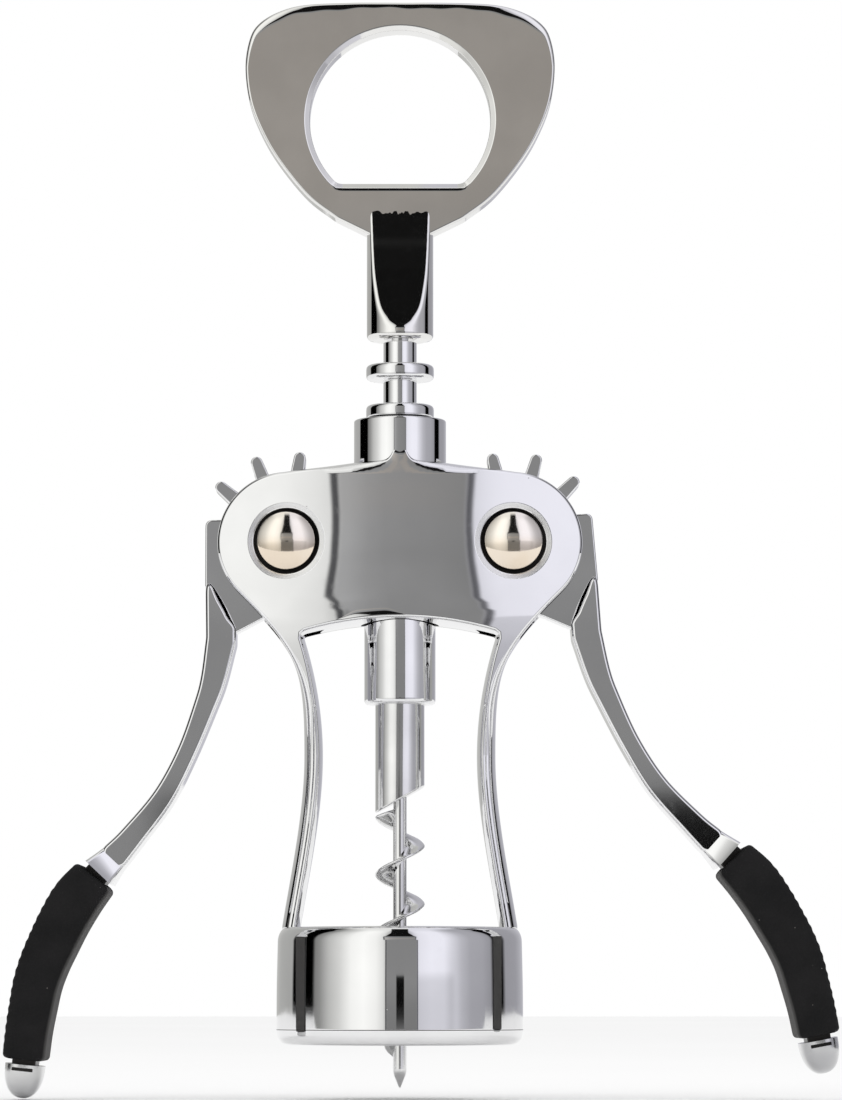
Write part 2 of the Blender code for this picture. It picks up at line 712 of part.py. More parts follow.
def frame_casting():
    """Housing, legs, collar and bell in one casting."""
    casting = prism("frame", frame_outline(), HOUSING_HALF_DEPTH + CUT_OVERRUN)
    cut(casting, prism("window", window_outline(), HOUSING_HALF_DEPTH + 2 * CUT_OVERRUN))
    crossed(casting, drum_block())
    crossed(casting, leg_envelope())
    joined(casting, collar())
    joined(casting, bell())
    for side in (-1, 1):
        slot = prism("slot", arc(GEAR_TIP_RADIUS + SLOT_CLEARANCE, 0.0, 352.5, 47), SLOT_HALF_DEPTH)
        cut(casting, placed(slot, Matrix.Translation((side * PIVOT_OFFSET, 0.0, PIVOT_HEIGHT))))
    cut(casting, stem_bore())
    for side in (-1, 1):
        cut(casting, pivot_bore(side))
        cut(casting, recess_chamfer(side, -1))
        cut(casting, recess_chamfer(side, 1))
    return casting


def collar_bush():
    """The guide bush in the collar."""
    low = COLLAR_TOP - BUSH_LENGTH
    profile = [
        (BUSH_RADIUS, COLLAR_TOP),
        (BUSH_RADIUS, low),
        (STEM_BORE_RADIUS, low),
        (STEM_BORE_RADIUS, COLLAR_TOP),
    ]
    return lathe("collar_bush", profile)


def ring_profile(centre):
    """One ring of the rack, from its top side at the core to its underside."""
    half = RACK_RING_THICKNESS / 2
    top = arc(
        RACK_RING_ROUNDING,
        90.0,
        0.0,
        1,
        (RACK_RING_RADIUS - RACK_RING_ROUNDING, centre + half - RACK_RING_ROUNDING),
    )
    bottom = arc(
        RACK_RING_ROUNDING,
        0.0,
        -90.0,
        1,
        (RACK_RING_RADIUS - RACK_RING_ROUNDING, centre - half + RACK_RING_ROUNDING),
    )
    return [(RACK_CORE_RADIUS, centre + half), *top, *bottom, (RACK_CORE_RADIUS, centre - half)]


def rack_stem():
    """The turned stem: spigot for the handle, rings, and the hub with the worm's socket."""
    spigot_top = NECK_BOTTOM + SPIGOT_LENGTH
    spigot_foot = NECK_BOTTOM - FIT_GAP
    profile = [
        (0.0, spigot_top),
        (SPIGOT_RADIUS - FIT_GAP, spigot_top),
        (SPIGOT_RADIUS, spigot_top - FIT_GAP),
        (SPIGOT_RADIUS, spigot_foot),
        (RACK_CORE_RADIUS, spigot_foot),
    ]
    for i in range(RACK_RINGS_ABOVE + RACK_RINGS_BELOW):
        profile += ring_profile(TOP_RING_HEIGHT - i * RACK_PITCH)
    top = arc(HUB_ROUNDING, 90.0, 0.0, 3, (HUB_RADIUS - HUB_ROUNDING, HUB_TOP - HUB_ROUNDING))
    bottom = arc(HUB_ROUNDING, 0.0, -90.0, 3, (HUB_RADIUS - HUB_ROUNDING, HUB_BOTTOM + HUB_ROUNDING))
    socket = SHANK_RADIUS + FIT_GAP
    socket_top = HUB_BOTTOM + SHANK_SEAT_DEPTH + FIT_GAP
    profile += [
        (RACK_CORE_RADIUS, HUB_TOP),
        *top,
        *bottom,
        (socket, HUB_BOTTOM),
        (socket, socket_top),
        (0.0, socket_top),
    ]
    stem = lathe("rack_stem", profile, SMALL_SEGMENTS)
    for height, half_length in ((handle_pin_height(), SPIGOT_RADIUS), (worm_pin_height(), HUB_RADIUS)):
        reach = half_length + CUT_OVERRUN
        hole = rod("pin_hole", CROSS_PIN_RADIUS + FIT_GAP, -reach, reach, 16)
        cut(stem, along_x(hole, height))
    return stem


def handle_pin_height():
    """Height of the handle's cross pin, half way up the spigot."""
    return NECK_BOTTOM + SPIGOT_LENGTH / 2


def worm_pin_height():
    """Height of the worm's cross pin, half way up the socket."""
    return HUB_BOTTOM + SHANK_SEAT_DEPTH / 2


def cross_pin(name, half_length, height):
    """A short locking pin across the stem."""
    return along_x(rod(name, CROSS_PIN_RADIUS, -half_length, half_length, 16), height)


def plate_outline():
    """Outline of the opener's head, closed inside the neck."""
    shares = smooth_through(PLATE_OUTLINE_SHARES, PLATE_OUTLINE_STEPS)
    curve = [(x * PLATE_HALF_WIDTH, PLATE_BOTTOM + z * PLATE_HEIGHT) for x, z in shares]
    throat = (NECK_RADIUS - NECK_ROUNDING / 2, PLATE_BOTTOM)
    inside = (NECK_RADIUS / 2, PLATE_BOTTOM - NECK_ROUNDING)
    right = [*curve[1:], throat, inside]
    return [curve[0], *right, *mirrored(right)]


def opening_outline(grown):
    """The D-shaped hole: most of a circle with a flat lower side and rounded corners."""
    centre = (0.0, PLATE_BOTTOM + OPENING_HEIGHT)
    radius = OPENING_RADIUS + grown
    flat = -(OPENING_FLAT_DROP + grown)
    corner_angle = math.degrees(math.asin(flat / radius))
    trim = math.degrees(OPENING_CORNER_ROUNDING * 2 / radius)
    curve = arc(radius, 180.0 - corner_angle - trim, corner_angle + trim, 38, centre)
    half_flat = math.sqrt(radius**2 - flat**2) - 2 * OPENING_CORNER_ROUNDING
    level = centre[1] + flat
    soft = (curve[-1][0] - OPENING_CORNER_ROUNDING / 2, level + OPENING_CORNER_ROUNDING / 2)
    right = [soft, (half_flat, level)]
    return [*curve, *right, *mirrored(right)]


def opener_handle():
    """The flat opener head on its round neck, with a blind hole for the stem."""
    handle = prism("plate", plate_outline(), PLATE_HALF_DEPTH, PLATE_BEVEL, 1)
    neck_top = PLATE_BOTTOM + NECK_OVERLAP
    rounding = arc(
        NECK_ROUNDING, 0.0, -90.0, 3, (NECK_RADIUS - NECK_ROUNDING, NECK_BOTTOM + NECK_ROUNDING)
    )
    neck = lathe("neck", [(0.0, neck_top), (NECK_RADIUS, neck_top), *rounding, (0.0, NECK_BOTTOM)])
    scoop = [(y * NECK_RADIUS, NECK_BOTTOM + z * NECK_LENGTH) for y, z in SCOOP_SHARES]
    wide = scoop[0][0]
    right = [(wide, NECK_BOTTOM - NECK_ROUNDING), *scoop, (scoop[-1][0], neck_top + NECK_ROUNDING)]
    side = prism("side", [*right, *mirrored(right)], wide)
    crossed(neck, placed(side, Matrix.Rotation(math.pi / 2, 4, "Z")))
    joined(handle, neck)
    cut(handle, prism("opening", opening_outline(0.0), PLATE_HALF_DEPTH + CUT_OVERRUN))
    for side in (-1, 1):
        cut(handle, opening_chamfer(side))
    blind_top = NECK_BOTTOM + SPIGOT_LENGTH + FIT_GAP
    cut(handle, rod("blind_hole", SPIGOT_RADIUS + FIT_GAP, NECK_BOTTOM - CUT_OVERRUN, blind_top))
    reach = NECK_RADIUS + CUT_OVERRUN
    hole = rod("pin_hole", CROSS_PIN_RADIUS + FIT_GAP, -reach, reach, 16)
    cut(handle, along_x(hole, handle_pin_height()))
    return handle


def opening_chamfer(side):
    """A tapered plug that chamfers one edge of the hole."""
    small = opening_outline(0.0)
    large = opening_outline(2 * OPENING_BEVEL)
    inner_y = side * (PLATE_HALF_DEPTH - OPENING_BEVEL)
    outer_y = side * (PLATE_HALF_DEPTH + OPENING_BEVEL)
    bm = bmesh.new()
    inner = [bm.verts.new((x, inner_y, z)) for x, z in small]
    outer = [bm.verts.new((x, outer_y, z)) for x, z in large]
    bm.faces.new(inner)
    bm.faces.new(outer)
    for i in range(len(inner)):
        j = (i + 1) % len(inner)
        bm.faces.new((inner[i], inner[j], outer[j], outer[i]))
    return link("opening_chamfer", bm)


def shank():
    """The worm's shank, with a slanted lower end."""
    top = HUB_BOTTOM + SHANK_SEAT_DEPTH
    solid = rod("shank", SHANK_RADIUS, SHANK_END, top, SMALL_SEGMENTS)
    for vertex in solid.data.vertices:
        if vertex.co.z < HUB_BOTTOM:
            vertex.co.z += SHANK_SLANT * vertex.co.x / SHANK_RADIUS
    return solid


def auger_core():
    """The straight core of the auger with its point."""
    profile = [
        (0.0, SHANK_END + SHANK_SLANT),
        (AUGER_CORE_RADIUS, SHANK_END + SHANK_SLANT),
        (AUGER_CORE_RADIUS, WORM_TIP + AUGER_POINT_LENGTH),
        (AUGER_POINT_RADIUS, WORM_TIP),
        (0.0, WORM_TIP),
    ]
    return lathe("auger_core", profile, 24)


def flight():
    """The thread of the auger: a thin fin swept down a right-handed helix, fading out at the point."""
    start_height = SHANK_END - FLIGHT_START_DROP * math.cos(math.radians(FLIGHT_START_DEG - 180.0))
    end_height = WORM_TIP + FLIGHT_END_RISE
    turn_deg = 360.0 * (start_height - end_height) / FLIGHT_PITCH
    count = round(turn_deg / FLIGHT_STEP_DEG)
    root = AUGER_CORE_RADIUS * FLIGHT_ROOT_SHARE
    bm = bmesh.new()
    sections = []
    for i in range(count + 1):
        turned = turn_deg * i / count
        angle = math.radians(FLIGHT_START_DEG - turned)
        z = start_height - FLIGHT_PITCH * turned / 360.0
        fade = min((turn_deg - turned) / FLIGHT_FADE_DEG, 1.0)
        head = min((turned + FLIGHT_STEP_DEG) / (2 * FLIGHT_STEP_DEG), 1.0)
        rim = root + (FLIGHT_RADIUS - root) * math.sin(math.pi / 2 * fade) * head
        rim = max(rim, AUGER_CORE_RADIUS * FLIGHT_BURIED_SHARE)
        base = FLIGHT_ROOT_HALF_THICKNESS
        edge = FLIGHT_RIM_HALF_THICKNESS
        shape = (
            (root, -base),
            (rim - edge, -edge * 1.5),
            (rim, -edge / 2),
            (rim, edge / 2),
            (rim - edge, edge * 1.5),
            (root, base),
        )
        section = [
            bm.verts.new((radius * math.cos(angle), radius * math.sin(angle), z + rise))
            for radius, rise in shape
        ]
        sections.append(section)
    for upper, lower in zip(sections, sections[1:]):
        for i in range(len(upper)):
            j = (i + 1) % len(upper)
            bm.faces.new((upper[i], upper[j], lower[j], lower[i]))
    bm.faces.new(sections[0])
    bm.faces.new(sections[-1])
    return link("flight", bm)


def worm():
    """Shank, core and flight as one piece, with the hole of the cross pin."""
    piece = joined(shank(), auger_core())
    joined(piece, flight())
    reach = SHANK_RADIUS + CUT_OVERRUN
    hole = rod("pin_hole", CROSS_PIN_RADIUS + FIT_GAP, -reach, reach, 16)
    cut(piece, along_x(hole, worm_pin_height()))
    return piece


def tooth_points(angle):
    """One finger-shaped tooth, from its lower side round its tip to its upper side."""
    base = math.sqrt(GEAR_ROOT_RADIUS**2 - TOOTH_BASE_HALF_WIDTH**2)
    tip = GEAR_TIP_RADIUS - TOOTH_TIP_HALF_WIDTH
    local = [(base, -TOOTH_BASE_HALF_WIDTH)]
    local += arc(TOOTH_TIP_HALF_WIDTH, -84.0, 84.0, 6, (tip, 0.0))
    local.append((base, TOOTH_BASE_HALF_WIDTH))
    turn = Matrix.Rotation(angle, 2)
    return [tuple(turn @ Vector(point)) for point in local]


def gear_outline():
    """Outline of the thin gear plate: teeth on the rack's side, the root block and the heel."""
    phase = MESH_ANGLE + math.radians(LEFT_LEVER_PLAY_DEG)
    half_tooth = math.asin(TOOTH_BASE_HALF_WIDTH / GEAR_ROOT_RADIUS)
    points = [polar(GEAR_ROOT_RADIUS, math.radians(HEEL_END_DEG))]
    for k in range(FIRST_TOOTH, LAST_TOOTH + 1):
        angle = phase + k * TOOTH_ANGLE
        points.append(polar(GEAR_ROOT_RADIUS, angle - TOOTH_ANGLE / 2))
        points += tooth_points(angle)
    block_start = math.pi - math.asin(BLOCK_TOP / GEAR_ROOT_RADIUS)
    last = phase + LAST_TOOTH * TOOTH_ANGLE + half_tooth
    points.append(polar(GEAR_ROOT_RADIUS, (last + block_start) / 2))
    points.append(polar(GEAR_ROOT_RADIUS, block_start))
    corner = (BLOCK_ROUNDING - BLOCK_REACH, BLOCK_TOP - BLOCK_ROUNDING)
    points += arc(BLOCK_ROUNDING, 90.0, 180.0, 4, corner)
    shoulder = LEAF_SHOULDER_SHARES[1] * GEAR_TIP_RADIUS
    points.append((-BLOCK_REACH, shoulder))
    points += scaled(HEEL_SHARES, GEAR_TIP_RADIUS)
    return points


def station_rail(shares, steps):
    """A smooth run of (x, z, half width) through stations, with the pivot as origin."""
    stations = [tuple(value * LEVER_REACH for value in share) for share in shares]
    return smooth_through(stations, steps)


def arm_rail():
    return station_rail(ARM_STATION_SHARES, ARM_STATION_STEPS)


def grip_rail():
    return station_rail(GRIP_STATION_SHARES, GRIP_STATION_STEPS)


def rail_length(rail):
    return sum(math.dist(a[:2], b[:2]) for a, b in zip(rail, rail[1:]))


def rail_point(rail, distance):
    """The (x, z, half width) at a distance along a rail. Outside its ends it runs on straight."""
    left = distance
    for a, b in zip(rail, rail[1:]):
        step = math.dist(a[:2], b[:2])
        if left <= step:
            break
        left -= step
    else:
        left += step
    t = left / step
    return tuple(p + (q - p) * t for p, q in zip(a, b))


def trimmed(rail, start, end):
    """The part of a rail between two distances along it."""
    result = [rail_point(rail, start)]
    travelled = 0.0
    for a, b in zip(rail, rail[1:]):
        travelled += math.dist(a[:2], b[:2])
        if start + FIT_GAP < travelled < end - FIT_GAP:
            result.append(b)
    result.append(rail_point(rail, end))
    return result


def across_rail(rail, i):
    """Unit vector across a rail at one of its points, towards the lever's outer side."""
    ahead = rail[min(i + 1, len(rail) - 1)]
    behind = rail[max(i - 1, 0)]
    along = Vector((ahead[0] - behind[0], ahead[1] - behind[1])).normalized()
    return Vector((along.y, -along.x))


def strip_edges(rail, narrower=0.0):
    """The outer and inner edges of a strip along a rail."""
    outer, inner = [], []
    for i, (x, z, half) in enumerate(rail):
        across = across_rail(rail, i) * (half - narrower)
        outer.append((x + across.x, z + across.y))
        inner.append((x - across.x, z - across.y))
    return outer, inner


def strip_outline(rail, narrower=0.0):
    outer, inner = strip_edges(rail, narrower)
    return [*outer, *reversed(inner)]


def rounded_section(half_width, half_depth, radius, steps):
    """A rectangle with round corners, as (across, y) points."""
    points = []
    for start, x, y in ((0, 1, 1), (90, -1, 1), (180, -1, -1), (270, 1, -1)):
        centre = (x * (half_width - radius), y * (half_depth - radius))
        points += arc(radius, start, start + 90, steps, centre)
    return points


def loft(name, rail, sections):
    """A solid along a rail, from one section of (across, y) points for each point of the rail."""
    bm = bmesh.new()
    rings = []
    for i, ((x, z, _), section) in enumerate(zip(rail, sections)):
        side = across_rail(rail, i)
        rings.append([bm.verts.new((x + side.x * a, y, z + side.y * a)) for a, y in section])
    for upper, lower in zip(rings, rings[1:]):
        for i in range(len(upper)):
            j = (i + 1) % len(upper)
            bm.faces.new((upper[i], upper[j], lower[j], lower[i]))
    bm.faces.new(rings[0])
    bm.faces.new(rings[-1])
    return link(name, bm)


def arm_outline():
    """Outline of the thick arm: the leaf-shaped top, then both edges down into the flare."""
    rail = arm_rail()
    outer, inner = strip_edges(trimmed(rail, 0.0, rail_length(rail) - ARM_FLARE_LENGTH / 2))
    tip, shoulder, control, heel = scaled(
        (LEAF_TIP_SHARES, LEAF_SHOULDER_SHARES, LEAF_CONTROL_SHARES, LEAF_HEEL_SHARES),
        GEAR_TIP_RADIUS,
    )
    step = bezier([heel, control, tip], 5)
    return [*step, shoulder, *outer, *reversed(inner)]


def arm_flare():
    """The end of the arm, which grows thicker and wider towards the grip."""
    length = rail_length(arm_rail())
    rail = trimmed(arm_rail(), length - ARM_FLARE_LENGTH, length)
    deep = ARM_FLARE_HALF_DEPTH - ARM_HALF_DEPTH + ARM_FLARE_SINK
    sections = []
    for i, (_, _, half) in enumerate(rail):
        share = i / (len(rail) - 1)
        half_depth = ARM_HALF_DEPTH - ARM_FLARE_SINK + deep * share
        half_width = half - ARM_FLARE_SINK * (1 - 2 * share)
        sections.append(rounded_section(half_width, half_depth, ARM_FLARE_ROUNDING, 2))
    return loft("arm_flare", rail, sections)


def core_rail():
    """The lever's core: from inside the arm's end to the end of its spigot in the cap."""
    rail = grip_rail()
    return trimmed(rail, -CORE_ROOT_LENGTH, rail_length(rail) + CAP_GAP + CORE_SPIGOT_LENGTH)


def lever():
    """Gear plate, arm and core as one casting, with the pivot at the origin."""
    piece = prism("gear_plate", gear_outline(), GEAR_HALF_DEPTH)
    joined(piece, prism("arm", arm_outline(), ARM_HALF_DEPTH, ARM_BEVEL, 1))
    joined(piece, arm_flare())
    joined(piece, prism("core", strip_outline(core_rail(), GRIP_WALL), CORE_HALF_DEPTH))
    reach = GEAR_HALF_DEPTH + CUT_OVERRUN
    bore = rod("bore", PIN_RADIUS + FIT_GAP, -reach, reach)
    return cut(piece, along_y(bore, 0.0, 0.0))


def grip():
    """The rubber sleeve: rounded sections along the rail, hollowed out for the core."""
    length = rail_length(grip_rail())
    rail = trimmed(grip_rail(), 0.0, length)
    near = rail_point(grip_rail(), GRIP_END_ROUNDING)
    far = rail_point(grip_rail(), length - GRIP_END_ROUNDING)
    rail = [rail[0], near, *rail[1:-1], far, rail[-1]]
    sections = []
    for i, (_, _, half) in enumerate(rail):
        inset = GRIP_END_ROUNDING if i in (0, len(rail) - 1) else 0.0
        section = rounded_section(half - inset, GRIP_HALF_DEPTH - inset, GRIP_ROUNDING, 3)
        sections.append(section)
    sleeve = loft("sleeve", rail, sections)
    hollow = trimmed(grip_rail(), -CORE_ROOT_LENGTH, length + CUT_OVERRUN)
    room = strip_outline(hollow, GRIP_WALL - FIT_GAP)
    return cut(sleeve, prism("hollow", room, CORE_HALF_DEPTH + FIT_GAP))


def cap_frame():
    """Centre of the cap's top, and unit vectors across the lever and on towards its tip."""
    rail = grip_rail()
    end = rail_point(rail, rail_length(rail))
    beyond = rail_point(rail, rail_length(rail) + CAP_GAP)
    onward = Vector((beyond[0] - end[0], 0.0, beyond[1] - end[1])).normalized()
    across = Vector((-onward.z, 0.0, onward.x))
    top = Vector((end[0], 0.0, end[1])) + onward * CAP_GAP
    return top, across, onward


def end_cap():
    """The chrome cap: rounded-square sections that shrink to the tip, with a pocket for the core."""
    top, across, onward = cap_frame()
    bm = bmesh.new()
    rings = []
    for i in range(CAP_RINGS):
        share = math.sin(math.pi / 2 * i / (CAP_RINGS - 1))
        narrow = max(math.sqrt(1 - share * share), CAP_POINT_SHARE)
        shallow = 1 - CAP_DEPTH_DROP_SHARE * share**3
        ring = []
        for k in range(CAP_RING_POINTS):
            angle = 2 * math.pi * k / CAP_RING_POINTS
            c, s = math.cos(angle), math.sin(angle)
            swell = (abs(c) ** CAP_SQUARENESS + abs(s) ** CAP_SQUARENESS) ** (-1 / CAP_SQUARENESS)
            point = top + onward * (CAP_LENGTH * share)
            point += across * (CAP_HALF_WIDTH * narrow * swell * c)
            point += Vector((0.0, CAP_HALF_DEPTH * shallow * swell * s, 0.0))
            ring.append(bm.verts.new(point))
        rings.append(ring)
    for upper, lower in zip(rings, rings[1:]):
        for i in range(CAP_RING_POINTS):
            j = (i + 1) % CAP_RING_POINTS
            bm.faces.new((upper[i], upper[j], lower[j], lower[i]))
    bm.faces.new(rings[0])
    bm.faces.new(rings[-1])
    cap = link("cap", bm)
    pocket = trimmed(core_rail(), 0.0, rail_length(core_rail()) + FIT_GAP)
    cut(cap, prism("pocket", strip_outline(pocket, GRIP_WALL - FIT_GAP), CORE_HALF_DEPTH + FIT_GAP))
    return cut(cap, cap_window())


def cap_window():
    """The shallow catch window in the front face of the cap."""
    top, across, onward = cap_frame()
    near = top + onward * CAP_WINDOW_DROP
    far = near + onward * CAP_WINDOW_HEIGHT
    side = across * CAP_WINDOW_HALF_WIDTH
    corners = [near - side, near + side, far + side, far - side]
    window = prism("window", [(c.x, c.z) for c in corners], CAP_HALF_DEPTH)
    return placed(window, Matrix.Translation((0.0, CAP_WINDOW_DEPTH - 2 * CAP_HALF_DEPTH, 0.0)))


def dome_profile(base):
    """Half section of a domed head, from its apex to its flat underside."""
    edge = base + DOME_EDGE_HEIGHT
    points = []
    for i in range(6):
        angle = math.pi / 2 * (1 - i / 5)
        points.append((DOME_RADIUS * math.cos(angle), edge + DOME_HEIGHT * math.sin(angle)))
    points[0] = (0.0, edge + DOME_HEIGHT)
    return [*points, (DOME_RADIUS, base)]


def pivot_pin():
    """The axle: a domed head at the front, a plain shaft and a thinner end for the nut."""
    base = RECESS_FLOOR_DEPTH + FIT_GAP
    far = RECESS_FLOOR_DEPTH
    end = base + DOME_EDGE_HEIGHT + FIT_GAP
    profile = [
        *dome_profile(base),
        (PIN_RADIUS, base),
        (PIN_RADIUS, -far),
        (PIN_THREAD_RADIUS, -far),
        (PIN_THREAD_RADIUS, -end),
        (0.0, -end),
    ]
    return along_y(lathe("pivot_pin", profile, PIN_SEGMENTS), 0.0, 0.0)


def pivot_nut():
    """The domed nut on the rear end of the axle."""
    base = RECESS_FLOOR_DEPTH + FIT_GAP
    bore = PIN_THREAD_RADIUS + FIT_GAP
    bore_end = base + DOME_EDGE_HEIGHT + 2 * FIT_GAP
    profile = [*dome_profile(base), (bore, base), (bore, bore_end), (0.0, bore_end)]
    nut = lathe("pivot_nut", profile, PIN_SEGMENTS)
    return placed(nut, Matrix.Rotation(-math.pi / 2, 4, "X"))


def thrust_washer(side):
    """A thin ring between the gear and one cheek."""
    near = GEAR_HALF_DEPTH + FIT_GAP
    far = near + WASHER_THICKNESS
    bore = PIN_RADIUS + FIT_GAP
    profile = [(WASHER_RADIUS, far), (WASHER_RADIUS, near), (bore, near), (bore, far)]
    ring = lathe("washer", profile, PIN_SEGMENTS)
    return placed(ring, Matrix.Rotation(side * math.pi / 2, 4, "X"))


def add_empty(name, location, turn=0.0):
    """An axis marker that pieces hang on."""
    marker = bpy.data.objects.new(name, None)
    marker.location = location
    marker.rotation_euler = (0.0, turn, 0.0)
    bpy.context.scene.collection.objects.link(marker)
    return marker


def mirror_mesh(solid):
    """Turns a left-hand piece into a right-hand one."""
    solid.data.transform(Matrix.Scale(-1, 4, (1, 0, 0)))
    solid.data.flip_normals()
    return solid


def build_frame(chrome, nylon):
    finished(frame_casting(), "frame_casting", chrome)
    finished(collar_bush(), "collar_bush", nylon)


def build_stem(chrome, steel):
    """The pieces that rise and turn together: their parent lies on the stem's axis."""
    axis = add_empty("stem_axis", (0.0, 0.0, 0.0))
    pieces = [
        finished(opener_handle(), "opener_handle", chrome),
        finished(rack_stem(), "rack_stem", chrome),
        finished(worm(), "worm", steel),
        finished(cross_pin("pin", NECK_RADIUS, handle_pin_height()), "handle_cross_pin", steel),
        finished(cross_pin("pin", HUB_RADIUS, worm_pin_height()), "worm_cross_pin", steel),
    ]
    for piece in pieces:
        piece.parent = axis


def build_lever(name, side, turn, chrome, rubber):
    """One lever with its grip and cap, hung on an empty at its pivot."""
    axis = add_empty(name + "_lever_axis", (side * PIVOT_OFFSET, 0.0, PIVOT_HEIGHT), turn)
    pieces = [
        finished(lever(), name + "_lever", chrome),
        finished(grip(), name + "_grip", rubber),
        finished(end_cap(), name + "_end_cap", chrome),
    ]
    for piece in pieces:
        if side > 0:
            mirror_mesh(piece)
        piece.parent = axis


def build_pivot(name, side, nickel, nylon):
    """The axle, nut and washers of one lever, which stay with the frame."""
    axis = add_empty(name + "_pivot", (side * PIVOT_OFFSET, 0.0, PIVOT_HEIGHT))
    pieces = [
        finished(pivot_pin(), name + "_pivot_pin", nickel),
        finished(pivot_nut(), name + "_pivot_nut", nickel),
        finished(thrust_washer(1), name + "_front_washer", nylon),
        finished(thrust_washer(-1), name + "_rear_washer", nylon),
    ]
    for piece in pieces:
        piece.parent = axis


def build():
    for old in list(bpy.data.objects):
        bpy.data.objects.remove(old, do_unlink=True)
    chrome = finish_material("chrome_plate", (0.78, 0.78, 0.80), 0.06, 1.0)
    steel = finish_material("plated_steel", (0.70, 0.70, 0.72), 0.12, 1.0)
    nickel = finish_material("warm_nickel", (0.86, 0.76, 0.66), 0.10, 1.0)
    rubber = finish_material("black_rubber", (0.02, 0.02, 0.02), 0.75, 0.0)
    nylon = finish_material("black_nylon", (0.03, 0.03, 0.03), 0.5, 0.0)
    build_frame(chrome, nylon)
    build_stem(chrome, steel)
    opening = math.radians(RIGHT_LEVER_OPENING_DEG)
    for name, side, turn in (("left", -1, 0.0), ("right", 1, -opening)):
        build_lever(name, side, turn, chrome, rubber)
        build_pivot(name, side, nickel, nylon)


build()
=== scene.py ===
import math

import bpy
import numpy as np
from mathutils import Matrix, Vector, geometry


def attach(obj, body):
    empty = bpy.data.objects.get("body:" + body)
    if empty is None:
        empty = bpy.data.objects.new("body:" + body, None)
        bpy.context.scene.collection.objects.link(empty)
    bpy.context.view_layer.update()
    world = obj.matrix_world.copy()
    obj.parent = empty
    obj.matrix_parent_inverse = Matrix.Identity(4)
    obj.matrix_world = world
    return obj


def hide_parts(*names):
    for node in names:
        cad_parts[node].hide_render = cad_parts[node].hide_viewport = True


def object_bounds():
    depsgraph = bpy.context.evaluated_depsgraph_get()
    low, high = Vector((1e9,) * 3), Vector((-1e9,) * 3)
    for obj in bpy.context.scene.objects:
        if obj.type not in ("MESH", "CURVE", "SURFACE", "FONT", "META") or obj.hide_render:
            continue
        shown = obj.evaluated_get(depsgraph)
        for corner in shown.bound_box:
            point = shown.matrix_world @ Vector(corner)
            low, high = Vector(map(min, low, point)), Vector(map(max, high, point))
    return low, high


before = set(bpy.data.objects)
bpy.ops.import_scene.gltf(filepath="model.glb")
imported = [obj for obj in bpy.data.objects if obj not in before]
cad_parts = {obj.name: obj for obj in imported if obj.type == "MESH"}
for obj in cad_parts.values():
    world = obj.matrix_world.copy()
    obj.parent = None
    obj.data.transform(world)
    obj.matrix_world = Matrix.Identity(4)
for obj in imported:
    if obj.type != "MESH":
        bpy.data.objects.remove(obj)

cad_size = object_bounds()


# Frame casting
# One zinc die casting with a mirror chrome plate: a curved housing round the gears, two legs that thin out
# towards the waist, a round bell for the bottle, and a collar for the stem. All its edges are softly
# rounded.

PIVOT_X, PIVOT_Z = 0.0186, 0.0822
GEAR_TIP = 0.0152
FLOOR_EASE = 0.0002


def curve(points, count):
    """A Bezier curve of count points: each control point is weighted with its Bernstein share, (n over k)
    t^k (1 - t)^(n - k), for t from 0 to 1."""
    points = np.asarray(points, float)
    degree = len(points) - 1
    t = np.linspace(0.0, 1.0, count)[:, None]
    shares = [math.comb(degree, k) * t**k * (1 - t) ** (degree - k) for k in range(degree + 1)]
    return sum(share * point for share, point in zip(shares, points))


def arc(radius, start_deg, end_deg, count, centre=(0.0, 0.0)):
    """Points on a circle: centre + radius (cos a, sin a), for the angle a between two ends."""
    angle = np.radians(np.linspace(start_deg, end_deg, count))
    return np.stack([radius * np.cos(angle), radius * np.sin(angle)], 1) + centre


def mirrored(points):
    """The points with x reversed, in reverse order."""
    return points[::-1] * np.where(np.arange(points.shape[1]) == 0, -1.0, 1.0)


def divided(loop, pitch):
    """A closed line with extra points, so that no step is longer than pitch: p + (q - p) k / n."""
    step = np.roll(loop, -1, 0) - loop
    apart = np.linalg.norm(step[:, :2], axis=1) > 0.00002
    loop = loop[apart]
    step = np.roll(loop, -1, 0) - loop
    parts = np.maximum(np.ceil(np.linalg.norm(step[:, :2], axis=1) / pitch), 1).astype(int)
    start = np.repeat(np.arange(len(loop)), parts)
    k = np.arange(parts.sum()) - np.repeat(np.cumsum(parts) - parts, parts)
    return loop[start] + step[start] * (k / parts[start])[:, None]


def eased(points, reach, count=3, closed=True):
    """A line with each corner turned into a short parabola: (1-t)^2 A + 2 t (1-t) P + t^2 B, where A and B
    lie on the two edges, reach away from the corner P. Returns the points and their normals, on the line's
    right; any further columns run along."""
    points = np.asarray(points, float)
    ahead = np.roll(points, -1, 0) - points
    long_ahead = np.linalg.norm(ahead[:, :2], axis=1)
    share_ahead = np.minimum(reach / long_ahead, 0.44)
    long_back = np.roll(long_ahead, 1)
    share_back = np.minimum(reach / long_back, 0.44)
    a = points - np.roll(ahead, 1, 0) * share_back[:, None]
    b = points + ahead * share_ahead[:, None]
    t = np.linspace(0.0, 1.0, count)[None, :, None]
    p = points[:, None]
    a, b = a[:, None], b[:, None]
    line = (1 - t) ** 2 * a + 2 * t * (1 - t) * p + t**2 * b
    tangent = (1 - t) * (p - a) + t * (b - p)
    width = points.shape[1]
    if not closed:
        line = np.concatenate([points[:1], line[1:-1].reshape(-1, width), points[-1:]])
        tangent = np.concatenate([ahead[:1], tangent[1:-1].reshape(-1, width), ahead[-2:-1]])
    line, tangent = line.reshape(-1, width), unit(tangent.reshape(-1, width)[:, :2])
    return line, np.stack([tangent[:, 1], -tangent[:, 0]], 1)


